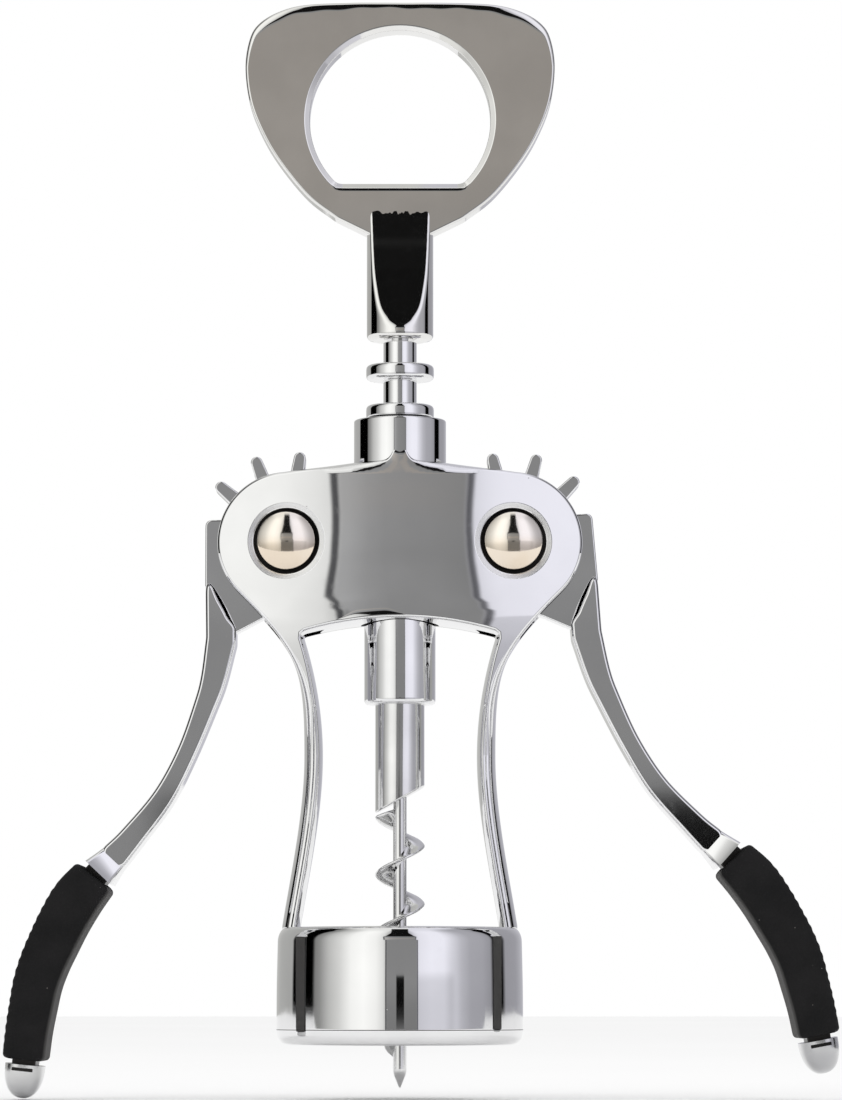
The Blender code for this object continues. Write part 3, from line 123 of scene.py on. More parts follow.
def unit(vectors):
    """Vectors of length 1."""
    return vectors / np.linalg.norm(vectors, axis=-1, keepdims=True)


def strip_quads(rows):
    """Four-sided faces between closed rows of point numbers: each point, the one below it, and their
    neighbours."""
    right = np.roll(rows, -1, 1)
    return np.stack([rows[:-1], rows[1:], right[1:], right[:-1]], -1).reshape(-1, 4)


def fan_to(pole, ring, reverse=False):
    """Triangles between one point and a closed ring of point numbers."""
    fan = np.stack([np.full(len(ring), pole), ring, np.roll(ring, -1)], 1)
    return fan[:, ::-1] if reverse else fan


def make_piece(name, points, faces, normals, material):
    """An object from arrays of points, faces and the true normal at each point."""
    mesh = bpy.data.meshes.new(name)
    mesh.from_pydata(points, [], faces)
    mesh.materials.append(material)
    mesh.shade_smooth()
    true = mesh.attributes.new("true_normal", "FLOAT_VECTOR", "CORNER")
    corner = np.empty(len(mesh.loops), np.int32)
    mesh.loops.foreach_get("vertex_index", corner)
    true.data.foreach_set("vector", unit(normals)[corner].astype(np.float32).ravel())
    mesh.normals_split_custom_set_from_vertices(unit(normals))
    piece = bpy.data.objects.new(name, mesh)
    bpy.context.scene.collection.objects.link(piece)
    return piece


def reshaped(piece, place, way=None):
    """A piece with its points moved by place, and its true normals, one for each corner of a face, by
    way."""
    mesh = piece.data
    spots = np.empty(len(mesh.vertices) * 3)
    mesh.vertices.foreach_get("co", spots)
    mesh.vertices.foreach_set("co", place(spots.reshape(-1, 3)).ravel())
    if way:
        true = np.empty(len(mesh.loops) * 3, np.float32)
        mesh.attributes["true_normal"].data.foreach_get("vector", true)
        true = way(true.reshape(-1, 3))
    mesh.update()
    if way:
        mesh.normals_split_custom_set(true.tolist())
    return piece


def round_rim(radius, wall_tilt=0.0, steps=4, flatter=0.0, facet=54.0):
    """A rounded edge as rows of insets, drops and tilts. The tilt a runs from 0 to that of the wall, and
    the edge is the sum of small steps r (cos a, sin a) da; r may grow round a facet's tilt by a factor 1 +
    flatter, as on an edge that was polished in two passes. The sizes may differ from point to point."""
    end = math.pi / 2 - np.atleast_1d(wall_tilt)
    tilt = np.linspace(0.0, 1.0, steps + 1)[:, None] * end
    middle = (tilt[1:] + tilt[:-1]) / 2
    bow = radius * (1 + flatter * np.exp(-(((np.degrees(middle) - facet) / 6.0) ** 2)))
    run = np.cumsum((bow * np.cos(middle) * (end / steps))[::-1], 0)[::-1]
    fall = np.cumsum(bow * np.sin(middle) * (end / steps), 0)
    last = radius * (np.tan(end / 2) - np.sin(end)) + 0 * run[:1]
    inset = np.concatenate([run + last, last])
    drop = np.concatenate([0 * fall[:1], fall])
    return np.stack(np.broadcast_arrays(inset, drop, tilt))


def chamfer_rim(width, ease, slope=math.pi / 4):
    """A flat chamfer between two small roundings, as rows of insets, drops and tilts."""
    slope = np.atleast_1d(slope)
    deep = width * np.tan(slope)
    inset = [width + ease, width + ease * 0.4, width - ease * 0.4, ease * 0.5, ease * 0.15, 0.0]
    drop = [0.0, ease * 0.12, ease * 0.4, deep - ease * 0.4, deep + ease * 0.3, deep + ease]
    tilt = [0.0, slope / 2, slope, slope, slope / 2 + math.pi / 4, math.pi / 2]
    return np.stack([np.stack([row + 0 * slope for row in rows]) for rows in (inset, drop, tilt)])


def face_normal(depth, flat):
    """The normal of the front face y = -depth(x, z): (-d depth/dx, -1, -d depth/dz)."""
    h = 0.00001
    x, z = flat[:, 0], flat[:, 1]
    slope_x = (depth(x + h, z) - depth(x - h, z)) / (2 * h)
    slope_z = (depth(x, z + h) - depth(x, z - h)) / (2 * h)
    return unit(np.stack([-slope_x, -np.ones_like(x), -slope_z], 1))


def rim_strip(line, outward, depth, rim, bulge, roll):
    """The rows of one edge of a plate from its front face to its wall. Row j lies inset_j inside the line
    and drop_j behind the face, and its normal turns from the face's to the wall's. A roll first lets the
    face fall away gently over a width: drop h u^2. Returns points and normals, row by row."""
    inset_rows, drop_rows, tilt_rows = rim
    width, fall = roll or (0.0, 0.0)
    rows = []
    for share in (0.0, 0.33, 0.67) if roll else ():
        flat = line - outward * (bulge + inset_rows[0] + width * (1 - share))[:, None]
        rows.append((flat, fall * share**2, np.arctan2(2 * fall * share, width)))
    for inset, drop, tilt in zip(inset_rows, drop_rows, tilt_rows):
        lean = np.arctan2(2 * fall, width) * (1 - tilt / tilt_rows[-1]) if roll else 0.0
        rows.append((line - outward * (bulge + inset)[:, None], fall + drop, tilt + lean))
    points, normals = [], []
    side = np.stack([outward[:, 0], np.zeros(len(outward)), outward[:, 1]], 1)
    for flat, drop, tilt in rows:
        y = -(depth(flat[:, 0], flat[:, 1]) - drop)
        points.append(np.stack([flat[:, 0], y, flat[:, 1]], 1))
        tilt = np.broadcast_to(tilt, len(flat))[:, None]
        normals.append(np.cos(tilt) * face_normal(depth, flat) + np.sin(tilt) * side)
    return np.array(points), np.array(normals)


def within(spots, starts, ends):
    """Whether spots lie inside a set of closed lines: a ray to the right crosses their edges an odd number
    of times."""
    crossed = np.zeros(len(spots), int)
    for (x1, z1), (x2, z2) in zip(starts, ends):
        if z1 != z2:
            level = (spots[:, 1] > z1) != (spots[:, 1] > z2)
            crossed += level & (spots[:, 0] < x1 + (spots[:, 1] - z1) * (x2 - x1) / (z2 - z1))
    return crossed % 2 == 1


def edge(smoothed, rim, roll=None, floor=None):
    """One closed edge of a plate with an upright wall, in the order that plate takes."""
    line, outward = smoothed
    return line, outward, rim, np.zeros(len(line)), roll, floor


def plate(name, loops, depth, material, pitch, wall_rows=2):
    """A plate that is the same in front and behind. Its faces are y = -depth(x, z) and y = depth(x, z), and
    each loop (line, outward, rim, bulge, roll, floor) is one closed edge: through the plate, or down to a
    blind floor."""
    points, normals, faces = [], [], []
    skins = {1: [], -1: []}
    count = 0

    def add(new_points, new_normals):
        nonlocal count
        points.append(new_points.reshape(-1, 3))
        normals.append(new_normals.reshape(-1, 3))
        numbers = np.arange(count, count + len(points[-1])).reshape(new_points.shape[:-1])
        count += len(points[-1])
        return numbers

    def show(block, mirror):
        faces.append(block if mirror > 0 else block[:, ::-1])

    for line, outward, rim, bulge, roll, floor in loops:
        front, front_normals = rim_strip(line, outward, depth, rim, bulge, roll)
        side = np.stack([outward[:, 0], np.zeros(len(outward)), outward[:, 1]], 1)
        flip = np.array([1.0, -1.0, 1.0])
        if floor is None:
            reach = -front[-1][:, 1]
            inset = np.sum((np.stack([line[:, 0], reach, line[:, 1]], 1) - front[-1] * flip) * side, 1)
            share = np.linspace(-1.0, 1.0, wall_rows + 2)[1:-1, None]
            flat = line - outward * (inset * share**2)[..., None]
            wall = np.stack([flat[..., 0], reach * share, flat[..., 1]], -1)
            lean = 2 * inset * share / reach
            wall_normals = side[None] + lean[..., None] * np.array([0.0, 1.0, 0.0])
            numbers = add(
                np.concatenate([front, wall, front[::-1] * flip]),
                np.concatenate([front_normals, wall_normals, front_normals[::-1] * flip]),
            )
            show(strip_quads(numbers), 1)
            skins[1].append(numbers[0])
            skins[-1].append(numbers[-1])
        else:
            low = np.stack([line[:, 0], np.full(len(line), -floor - FLOOR_EASE), line[:, 1]], 1)
            inner = low + side * FLOOR_EASE + np.array([0.0, FLOOR_EASE, 0.0])
            centre = inner.mean(0)
            disc = centre + (inner - centre) * 0.02
            down = np.broadcast_to(np.array([0.0, -1.0, 0.0]), low.shape)
            rows = np.array([*front, low, inner, disc])
            row_normals = np.array([*front_normals, side, down, down])
            for mirror in (1, -1):
                turn = np.array([1.0, mirror, 1.0])
                numbers = add(rows * turn, row_normals * turn)
                cap = add(centre[None] * turn, down[:1] * turn)[0]
                show(strip_quads(numbers), mirror)
                show(fan_to(cap, numbers[-1], True), mirror)
                skins[mirror].append(numbers[0])
    everything = np.concatenate(points)
    flat = everything[np.concatenate(skins[1])][:, [0, 2]]
    low, high = flat.min(0), flat.max(0)
    across = np.arange(low[0], high[0], pitch)
    up = np.arange(low[1], high[1], pitch * 0.87)
    grid = np.stack(np.meshgrid(across, up), -1)
    grid[1::2, :, 0] += pitch / 2
    grid = grid.reshape(-1, 2)
    nearest = [np.abs(part[:, None] - flat[None]).max(-1).min(1) for part in np.array_split(grid, 40)]
    grid = grid[np.concatenate(nearest) > pitch * 0.35]
    start = 0
    constraints = []
    for ring in skins[1]:
        here = np.arange(start, start + len(ring))
        constraints.append(np.stack([here, np.roll(here, -1)], 1))
        start += len(ring)
    ends = np.concatenate(constraints)
    spots = np.concatenate([flat, grid])
    out = geometry.delaunay_2d_cdt([Vector(spot) for spot in spots.tolist()], ends.tolist(), [], 0, 1e-9)
    corners, triangles = np.array(out[0]), np.array(out[2])
    source = np.array([first[0] if first else -1 for first in out[3]])
    fresh = source < 0
    source[fresh] = len(spots) + np.arange(fresh.sum())
    grid = np.concatenate([grid, corners[fresh].reshape(-1, 2)])
    a, b, c = (corners[triangles[:, k]] for k in range(3))
    turn = (b - a)[:, 0] * (c - a)[:, 1] - (b - a)[:, 1] * (c - a)[:, 0]
    triangles[turn < 0] = triangles[turn < 0][:, ::-1]
    triangles = triangles[within((a + b + c) / 3, flat[ends[:, 0]], flat[ends[:, 1]])]
    x, z = grid.T
    middle = np.stack([x, -depth(x, z), z], 1)
    middle_normals = face_normal(depth, grid)
    for mirror in (1, -1):
        turn = np.array([1.0, mirror, 1.0])
        inner = add(middle * turn, middle_normals * turn)
        show(np.concatenate([*skins[mirror], inner])[source][triangles], mirror)
    used = np.zeros(count, bool)
    for block in faces:
        used[block.ravel()] = True
    renumber = np.cumsum(used) - 1
    face_list = [face for block in faces for face in renumber[block].tolist()]
    return make_piece(name, np.concatenate(points)[used], face_list, np.concatenate(normals)[used], material)


def turned(name, profile, material, ease=0.0001, segments=128, closed=False):
    """A profile of (radius, z) turned round the Z axis: (r cos a, r sin a, z). It runs down the outside,
    from the axis to the axis or round a closed section. Its corners are eased by a length, or by one for
    each corner."""
    line, right = eased(profile, ease, 5, closed)
    angle = np.linspace(0.0, 2 * math.pi, segments, endpoint=False)
    circle = np.stack([np.cos(angle), np.sin(angle)], 1)
    poles = line[:, 0] < 1e-7

    def swept(rows):
        radius, height = rows[~poles, :, None, None].swapaxes(0, 1)
        around = radius * circle
        return np.concatenate([around, np.broadcast_to(height, (*around.shape[:2], 1))], 2).reshape(-1, 3)

    points, normals = swept(line), swept(-right)
    numbers = np.arange(len(points)).reshape(-1, segments)
    faces = strip_quads(np.concatenate([numbers, numbers[:1]]) if closed else numbers).tolist()
    for row, up in ((0, 1.0), (-1, -1.0)):
        if poles[row] and not closed:
            faces += fan_to(len(points), numbers[row], up < 0).tolist()
            points = np.concatenate([points, [[0.0, 0.0, line[row, 1]]]])
            normals = np.concatenate([normals, [[0.0, 0.0, up]]])
    return make_piece(name, points, faces, normals, material)


def upright(inner, outer, low, high):
    """Half section of a plain ring or rod, for turned: from its inner top corner down the outside."""
    return [(inner, high), (outer, high), (outer, low), (inner, low)]


def carved(piece, tools, material):
    """Takes tools away from a piece. The true normals travel with the corners, so the polish stays
    smooth."""
    for tool in tools:
        modifier = piece.modifiers.new("carve", "BOOLEAN")
        modifier.object = tool
        modifier.operation = "DIFFERENCE"
        modifier.solver = "EXACT"
        graph = bpy.context.evaluated_depsgraph_get()
        mesh = bpy.data.meshes.new_from_object(piece.evaluated_get(graph))
        piece.modifiers.clear()
        piece.data = mesh
        bpy.data.objects.remove(tool)
    mesh.materials.clear()
    mesh.materials.append(material)
    count = len(mesh.loops)
    true = np.empty(count * 3, np.float32)
    mesh.attributes["true_normal"].data.foreach_get("vector", true)
    true = true.reshape(-1, 3)
    face_normals = np.empty(len(mesh.polygons) * 3, np.float32)
    mesh.polygons.foreach_get("normal", face_normals)
    totals = np.empty(len(mesh.polygons), np.int32)
    mesh.polygons.foreach_get("loop_total", totals)
    flat = np.repeat(face_normals.reshape(-1, 3), totals, 0)
    true = np.where(np.linalg.norm(true, axis=1)[:, None] > 0.5, true, flat)
    true = np.where(np.sum(true * flat, 1)[:, None] < 0, -true, true)
    true = np.where(np.sum(true * flat, 1)[:, None] < 0.4, flat, true)
    mesh.shade_smooth()
    mesh.normals_split_custom_set(unit(true).tolist())


class Wire:
    """One output of a shader node. Ordinary sums with it and with numbers add Math nodes."""

    def __init__(self, finish, socket):
        self.finish = finish
        self.socket = socket

    def maths(self, operation, first, second=0.0):
        return self.finish.node("ShaderNodeMath", {"operation": operation}, {0: first, 1: second})

    def __add__(self, other):
        return self.maths("ADD", self, other)

    def __radd__(self, other):
        return self.maths("ADD", other, self)

    def __sub__(self, other):
        return self.maths("SUBTRACT", self, other)

    def __rsub__(self, other):
        return self.maths("SUBTRACT", other, self)

    def __mul__(self, other):
        return self.maths("MULTIPLY", self, other)

    def __rmul__(self, other):
        return self.maths("MULTIPLY", other, self)

    def __truediv__(self, other):
        return self.maths("DIVIDE", self, other)

    def __gt__(self, other):
        return self.maths("GREATER_THAN", self, other)

    def of(self, name):
        """Another output of the same node; a Mix node has one Result for each kind of data, and the live
        one is taken."""
        live = [socket for socket in self.socket.node.outputs if socket.name == name and socket.enabled]
        return Wire(self.finish, live[0] if live else self.socket.node.outputs[name])


class Finish:
    """The node tree of a material or of the world, with one method that adds any node."""

    def __init__(self, owner):
        owner.use_nodes = True
        self.owner = owner
        self.tree = owner.node_tree
        self.tree.nodes.clear()

    def node(self, kind, settings=None, values=None):
        made = self.tree.nodes.new(kind)
        settings = dict(settings or {})
        stops = settings.pop("stops", None)
        for name, value in settings.items():
            setattr(made, name, value)
        if stops:
            ramp = made.color_ramp.elements
            while len(ramp) < len(stops):
                ramp.new(0.5)
            for element, (place, colour) in zip(ramp, stops):
                element.position = place
                element.color = colour
        for name, value in (values or {}).items():
            if isinstance(value, Wire):
                self.tree.links.new(value.socket, made.inputs[name])
            else:
                made.inputs[name].default_value = value
        return Wire(self, made.outputs[0]) if made.outputs else made

    def place(self):
        """Where on the object a point lies, in metres."""
        return self.node("ShaderNodeTexCoord").of("Object")

    def noise(self, place, scale, detail=2.0, roughness=0.5):
        values = {"Vector": place, "Scale": scale, "Detail": detail, "Roughness": roughness}
        return self.node("ShaderNodeTexNoise", {}, values).of(0)

    def ease(self, value, start, end, low=0.0, high=1.0):
        """A soft step from low to high while the value runs from start to end."""
        values = {"Value": value, "From Min": start, "From Max": end, "To Min": low, "To Max": high}
        return self.node("ShaderNodeMapRange", {"interpolation_type": "SMOOTHSTEP"}, values)

    def mix(self, share, first, second, blend="MIX"):
        """A colour between two colours, or their product by a share."""
        settings = {"data_type": "RGBA", "blend_type": blend}
        return self.node("ShaderNodeMix", settings, {0: share, 6: first, 7: second}).of("Result")

    def specks(self, place, scale, size, share):
        """Small round spots, 1 inside and 0 outside: near the points of a cell pattern, in a share of its
        cells."""
        cell = self.node("ShaderNodeTexVoronoi", {}, {"Vector": place, "Scale": scale})
        chosen = self.node("ShaderNodeSeparateColor", {}, {0: cell.of("Color")})
        near = self.ease(cell.of("Distance"), size, size * 0.5)
        return near * (chosen > (1.0 - share))

    def surface(self, **values):
        """The finished material: a Principled surface, whose inputs are named with _ for each space."""
        values = {name.replace("_", " "): value for name, value in values.items()}
        return self.close(self.node("ShaderNodeBsdfPrincipled", {}, values))

    def close(self, shader, output="ShaderNodeOutputMaterial"):
        self.node(output, {}, {"Surface": shader})
        return self.owner


def rgb(red, green, blue):
    return (red, green, blue, 1.0)


def polished(name, colour, shade, roughness, haze=0.05, wave=0.0000012, grain=0.0, dust=0.02, painted_reflection_height=None):
    """Bright plating on a casting: it waves a little, hazes where hands touch it, and carries pits and
    dust. Below a given height it is painted in its shade all over: a painted reflection of the warm floor."""
    finish = Finish(bpy.data.materials.new(name))
    place = finish.place()
    cloud = finish.noise(place, 90.0, 3.0)
    smear = finish.noise(place, 420.0, 4.0, 0.6)
    pits = finish.specks(place, 330.0, 0.05, 0.05)
    motes = finish.specks(place, 520.0, 0.06, dust)
    shaded = finish.ease(cloud, 0.35, 0.7)
    # Painted reflection: below this height the plating is painted in its browner shade, for the warm floor
    # mirrored in the lower half
    if painted_reflection_height is not None:
        level = finish.node("ShaderNodeSeparateXYZ", {}, {0: place}).of("Z")
        shaded = shaded * 0.5 + finish.ease(level, painted_reflection_height + 0.0012, painted_reflection_height - 0.0012) * 0.75
    tone = finish.mix(shaded, colour, shade)
    tone = finish.mix(pits * 0.75, tone, rgb(0.12, 0.12, 0.12))
    tone = finish.mix(motes * 0.6, tone, rgb(0.9, 0.9, 0.9))
    rough = roughness + haze * finish.ease(smear, 0.5, 0.85) * finish.ease(cloud, 0.3, 0.7)
    height = finish.noise(place, 160.0, 1.0) + finish.noise(place, 700.0, 1.0) * 0.12 - pits * 3.0
    if grain:
        height = height + finish.noise(place, 5200.0, 2.0) * grain
    bump = finish.node("ShaderNodeBump", {}, {"Strength": 1.0, "Distance": wave, "Height": height})
    return finish.surface(Base_Color=tone, Metallic=1.0, Roughness=rough + (pits + motes) * 0.35, Normal=bump)


casting_chrome = polished("casting_chrome", rgb(0.85, 0.85, 0.855), rgb(0.81, 0.81, 0.815), 0.03)
satin_chrome = polished("satin_chrome", rgb(0.90, 0.90, 0.90), rgb(0.84, 0.84, 0.845), 0.42)
# A near-black finish used as painted shade: in the recesses round the domed heads, on the lever cores in the
# gaps by the sleeves and in the caps' catch windows; it also draws the thin line round the bell's foot
painted_shade_black = polished("painted_shade_black", rgb(0.035, 0.033, 0.032), rgb(0.02, 0.02, 0.02), 0.35)

# The housing's front is curved like a drum, tighter between the pivots, and runs up into the collar
HOUSING_DEPTH = 0.0080
CROWN_Z = PIVOT_Z + 0.0133
SHOULDER = (0.0078, PIVOT_Z + 0.0128)
CHEEK_RADIUS = 0.0114
COLLAR_RADIUS, COLLAR_TOP = 0.0076, 0.1027
TRUMPET_RISE, TRUMPET_HALF_WIDTH = 0.0026, 0.0030
WAIST_Z, WAIST_OUTER, LEG_WIDTH, LEG_SLIMMING = 0.047, 0.0157, 0.00305, 0.0023
BELL_TOP_RADIUS, BELL_TOP = 0.0193, 0.0191
ARCH_Z, ARCH_DROP, ARCH_HALF_WIDTH = 0.069, 0.0022, 0.0158
FOOT_SINK = 0.004
EDGE_ROUNDING, LEG_ROUNDING, INNER_LEG_ROUNDING = 0.00045, 0.00056, 0.0003
BEAD_GAP, BEAD_WIDTH, BEAD_DROP = 0.00005, 0.00033, 0.00026
WINDOW_DRAFT, LEG_BULGE = 0.00055, 0.0006
CROWN_DEPTH, FLANK_SLOPE = 0.00768, 0.24
DRUM_CURVATURE, PIVOT_CURVATURE, LOW_CURVATURE, LEG_CURVATURE = 12.5, 0.6, -0.9, 5.0
CHEEK_TOP_DEG, CHEEK_LOW_DEG, LEG_LEAN_DEG = 87.0, -45.0, -135.0
LEG_PULL_SHARES, WINDOW_PULL_SHARES, WINDOW_LEAN_SHARE = (0.48, 0.51), (0.30, 0.36), 0.6
FOOT_PULL_SHARE, FOOT_SLOPE = 0.32, 0.16


def soft_step(value, start, end):
    """0 before start, 1 after end, and t^2 (3 - 2t) between them."""
    t = np.clip((value - start) / (end - start), 0.0, 1.0)
    return t * t * (3 - 2 * t)


def frame_depth(x, z):
    """Half the depth of the frame: H - (s^2 / c) (sqrt(1 + (c x / s)^2) - 1), a drum of curvature c whose
    flanks run out straight at slope s. It is slimmer by a soft step at the waist, and blended into the
    collar's round above the crown."""
    curved = DRUM_CURVATURE + PIVOT_CURVATURE * np.exp(-(((z - 0.0855) / 0.006) ** 2))
    curved = curved + LOW_CURVATURE * soft_step(z, 0.080, 0.072) + LEG_CURVATURE * soft_step(z, 0.0705, 0.060)
    fall = FLANK_SLOPE**2 / curved * (np.sqrt(1 + (x * curved / FLANK_SLOPE) ** 2) - 1)
    drum = HOUSING_DEPTH - (HOUSING_DEPTH - CROWN_DEPTH) * soft_step(z, 0.078, 0.099) - fall
    slim = LEG_SLIMMING * soft_step(z, ARCH_Z - ARCH_DROP, WAIST_Z)
    sunk = 0.00020 * soft_step(z, CROWN_Z + TRUMPET_RISE * 0.35, CROWN_Z + TRUMPET_RISE * 0.85)
    upright = COLLAR_RADIUS + 0.00008 - sunk - x * x / (2 * COLLAR_RADIUS)
    into_collar = soft_step(z, CROWN_Z - 0.0018, CROWN_Z + TRUMPET_RISE * 0.8)
    return (drum - slim) * (1 - into_collar) + upright * into_collar


def flat_depth(value):
    """The half depth of a flat plate, the same everywhere."""
    return lambda x, z: np.full_like(x, value)


def frame_line():
    """The frame's outline, counterclockwise, as (x, z, bulge, rounding, flatter, facet, bead): trumpet,
    shoulders, cheeks and legs, the feet inside the bell, then back up inside the window and over its arch.
    The bulge is how far the rounded side of a leg, or the slanted wall of the window, stands proud of its
    front edge, and the bead is how much of a fine step runs along it."""
    start = arc(CHEEK_RADIUS, CHEEK_LOW_DEG, CHEEK_LOW_DEG, 1, (PIVOT_X, PIVOT_Z))[0]
    waist, foot = np.array([WAIST_OUTER, WAIST_Z]), np.array([BELL_TOP_RADIUS, BELL_TOP])
    span, foot_span = np.linalg.norm(start - waist), np.linalg.norm(waist - foot)
    away = arc(span * LEG_PULL_SHARES[0], LEG_LEAN_DEG, LEG_LEAN_DEG, 1, start)[0]
    upper = curve([start, away, waist + (0.0, span * LEG_PULL_SHARES[1]), waist], 26)
    pull = foot_span * FOOT_PULL_SHARE
    lower = curve([waist, waist - (0.0, pull), foot + (-pull * FOOT_SLOPE, pull), foot], 20)
    trumpet_top = [(0.0, CROWN_Z + TRUMPET_RISE), (0.0019, CROWN_Z + TRUMPET_RISE)]
    trumpet = curve([*trumpet_top, (0.0010, CROWN_Z + 0.0002), (TRUMPET_HALF_WIDTH, CROWN_Z - 0.0001)], 14)
    crown = curve([trumpet[-1], SHOULDER], 6)[1:]
    cheek = arc(CHEEK_RADIUS, CHEEK_TOP_DEG, CHEEK_LOW_DEG, 60, (PIVOT_X, PIVOT_Z))
    shoulder = curve([crown[-1], cheek[0]], 6)[1:-1]
    sunk = np.array([[BELL_TOP_RADIUS - 0.0008, BELL_TOP - FOOT_SINK]])
    outer = np.concatenate([trumpet, crown, shoulder, cheek, upper[1:], lower[1:], sunk])
    on_leg = soft_step(outer[:, 1], 0.066, 0.054)
    rounding = EDGE_ROUNDING + (LEG_ROUNDING - EDGE_ROUNDING) * on_leg
    shape = [on_leg * LEG_BULGE, rounding, 2.0 + 4.0 * on_leg, 50.0 + 0 * on_leg, on_leg]
    outer = np.column_stack([outer, *shape])

    inner_waist, inner_foot = WAIST_OUTER - LEG_WIDTH, BELL_TOP_RADIUS - LEG_WIDTH
    corner, waist = np.array([ARCH_HALF_WIDTH, ARCH_Z - ARCH_DROP]), np.array([inner_waist, WAIST_Z])
    span = np.linalg.norm(corner - waist)
    high = corner - ((corner[0] - inner_waist) * WINDOW_LEAN_SHARE, span * WINDOW_PULL_SHARES[0])
    upper = curve([corner, high, waist + (0.0, span * WINDOW_PULL_SHARES[1]), waist], 24)
    foot = np.array([inner_foot, BELL_TOP])
    pull = np.linalg.norm(waist - foot) * FOOT_PULL_SHARE
    lower = curve([waist, waist - (0.0, pull), foot + (-pull * FOOT_SLOPE, pull), foot], 18)
    radius = (corner[0] ** 2 + ARCH_DROP**2) / (2 * ARCH_DROP)
    half_angle = math.degrees(math.asin(corner[0] / radius))
    arch = arc(radius, 90.0, 90.0 - half_angle, 20, (0.0, ARCH_Z - radius))
    below = np.array([[inner_foot, BELL_TOP - FOOT_SINK]])
    window = np.concatenate([arch[:-1], corner[None], upper[1:], lower[1:], below])
    on_leg = soft_step(window[:, 1], 0.064, 0.054)
    rounding = EDGE_ROUNDING + (INNER_LEG_ROUNDING - EDGE_ROUNDING) * on_leg
    draft = np.full(len(window), WINDOW_DRAFT)
    window = np.column_stack([window, draft, rounding, 2.0 + 6.0 * on_leg, 56.0 + 0 * on_leg, 0 * on_leg])
    right = np.concatenate([outer[1:], window[::-1][:-1]])
    loop = divided(np.concatenate([outer[:1], right, window[:1], mirrored(right)])[::-1], 0.0012)
    loop[:, 2] *= soft_step(loop[:, 1], BELL_TOP - 0.0028, BELL_TOP - 0.0006)
    return loop


def stepped(rim, bead):
    """A rim with a fine step in the face before it, where bead is 1: the face falls by BEAD_DROP at 50
    degrees."""
    share = np.array([0.0, 0.15, 0.35, 0.65, 0.85, 1.0])[:, None]
    fallen = np.array([0.0, 0.05, 0.27, 0.73, 0.95, 1.0])[:, None]
    tilt = np.radians([0.0, 33.0, 50.0, 50.0, 33.0, 0.0])[:, None]
    width = 0.00003 + (BEAD_WIDTH - 0.00003) * bead
    inset = rim[0, :1] + 0.00001 + BEAD_GAP * bead + width * (1 - share)
    rows = np.stack([inset, BEAD_DROP * fallen * bead, tilt * bead])
    lowered = rim + np.array([0.0, 1.0, 0.0])[:, None, None] * BEAD_DROP * bead
    return np.concatenate([rows, lowered], 1)


CURL_WIDTH, CURL_RISE, LEAST_ROLL = 0.0011, 0.00017, 0.00004
line, outward = eased(frame_line(), 0.0006)
slant = np.arctan(2 * line[:, 2] / frame_depth(line[:, 0], line[:, 1]))
rim = stepped(round_rim(line[:, 3], slant, 14, line[:, 4], line[:, 5]), line[:, 6])
# The face curls up a little where the polishing wheel stopped short of the window's top
x, z = line[:, 0], line[:, 1]
curl = soft_step(x, -0.0102, -0.0066) * soft_step(x, 0.0010, -0.0026) * (outward[:, 1] < -0.8)
curl = curl * soft_step(z, 0.064, 0.066) * soft_step(z, 0.0715, 0.0700)
frame_roll = (LEAST_ROLL + CURL_WIDTH * curl, -CURL_RISE * curl)
frame_loop = (line[:, :2], outward, rim, line[:, 2], frame_roll, None)

# Blind recesses for the domed heads, slots for the gears, and a stepped bore for the bush and the hub
RECESS_RADIUS, RECESS_FLOOR, RECESS_CHAMFER = 0.00545, 0.0042, 0.00085
SLOT_HALF_DEPTH, SLOT_RADIUS = 0.0034, GEAR_TIP + 0.0005
BORE_RADIUS, BUSH_POCKET_RADIUS, HUB_BORE_RADIUS = 0.006, 0.0067, 0.00645
BORE_TOP, BORE_STEP, BORE_END = 0.101, 0.080, 0.060
recess_rim = chamfer_rim(RECESS_CHAMFER, 0.00012, math.radians(20.0))
slot_rim = np.array([[0.00002, 0.0], [0.0, 0.00002], [0.0, math.pi / 2]])[..., None]
recess_loops, tools = [], []
for side in (-1, 1):
    centre = (side * PIVOT_X, PIVOT_Z)
    recess = eased(arc(RECESS_RADIUS, 360.0, 0.0, 97, centre)[:-1], 0.0001)
    recess_loops.append(edge(recess, recess_rim, None, RECESS_FLOOR))
    slot = eased(arc(SLOT_RADIUS, 0.0, 360.0, 73, centre)[:-1], 0.0001)
    slot_edges = [edge(slot, slot_rim)]
    tools.append(plate("slot_tool", slot_edges, flat_depth(SLOT_HALF_DEPTH), casting_chrome, 0.004))
bore_line = [
    (0.0, BORE_TOP), (BORE_RADIUS, BORE_TOP), (BORE_RADIUS, BORE_STEP),
    (HUB_BORE_RADIUS, BORE_STEP), (HUB_BORE_RADIUS, BORE_END), (0.0, BORE_END),
]
tools.append(turned("bore_tool", bore_line, casting_chrome, 0.0001, 64))
casting = plate("casting_frame", [frame_loop, *recess_loops], frame_depth, casting_chrome, 0.0011, 6)
carved(casting, tools, casting_chrome)
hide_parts("frame_casting")

# The bell: a round wall that narrows a little at the shoulder, with a turned foot and a mouth for the
# bottle. Each corner of its section is given as radius, height and easing
BELL_RADIUS = 0.02015
bell_section = np.array(
    [
        (0.0127, BELL_TOP, 0.0002), (0.0191, BELL_TOP, 0.0008), (0.01996, 0.0177, 0.0009),
        (BELL_RADIUS, 0.0090, 0.0030), (BELL_RADIUS, 0.0024, 0.0003), (0.02000, 0.0010, 0.0006),
        (0.0189, 0.0, 0.0009), (0.0168, 0.0, 0.0003), (0.0161, 0.0007, 0.0003),
        (0.0156, 0.0130, 0.0002), (0.0125, 0.0130, 0.0003), (0.0125, BELL_TOP - 0.0002, 0.0002),
    ]
)
bell = turned("casting_bell", bell_section[:, :2], casting_chrome, bell_section[:, 2], 192, True)
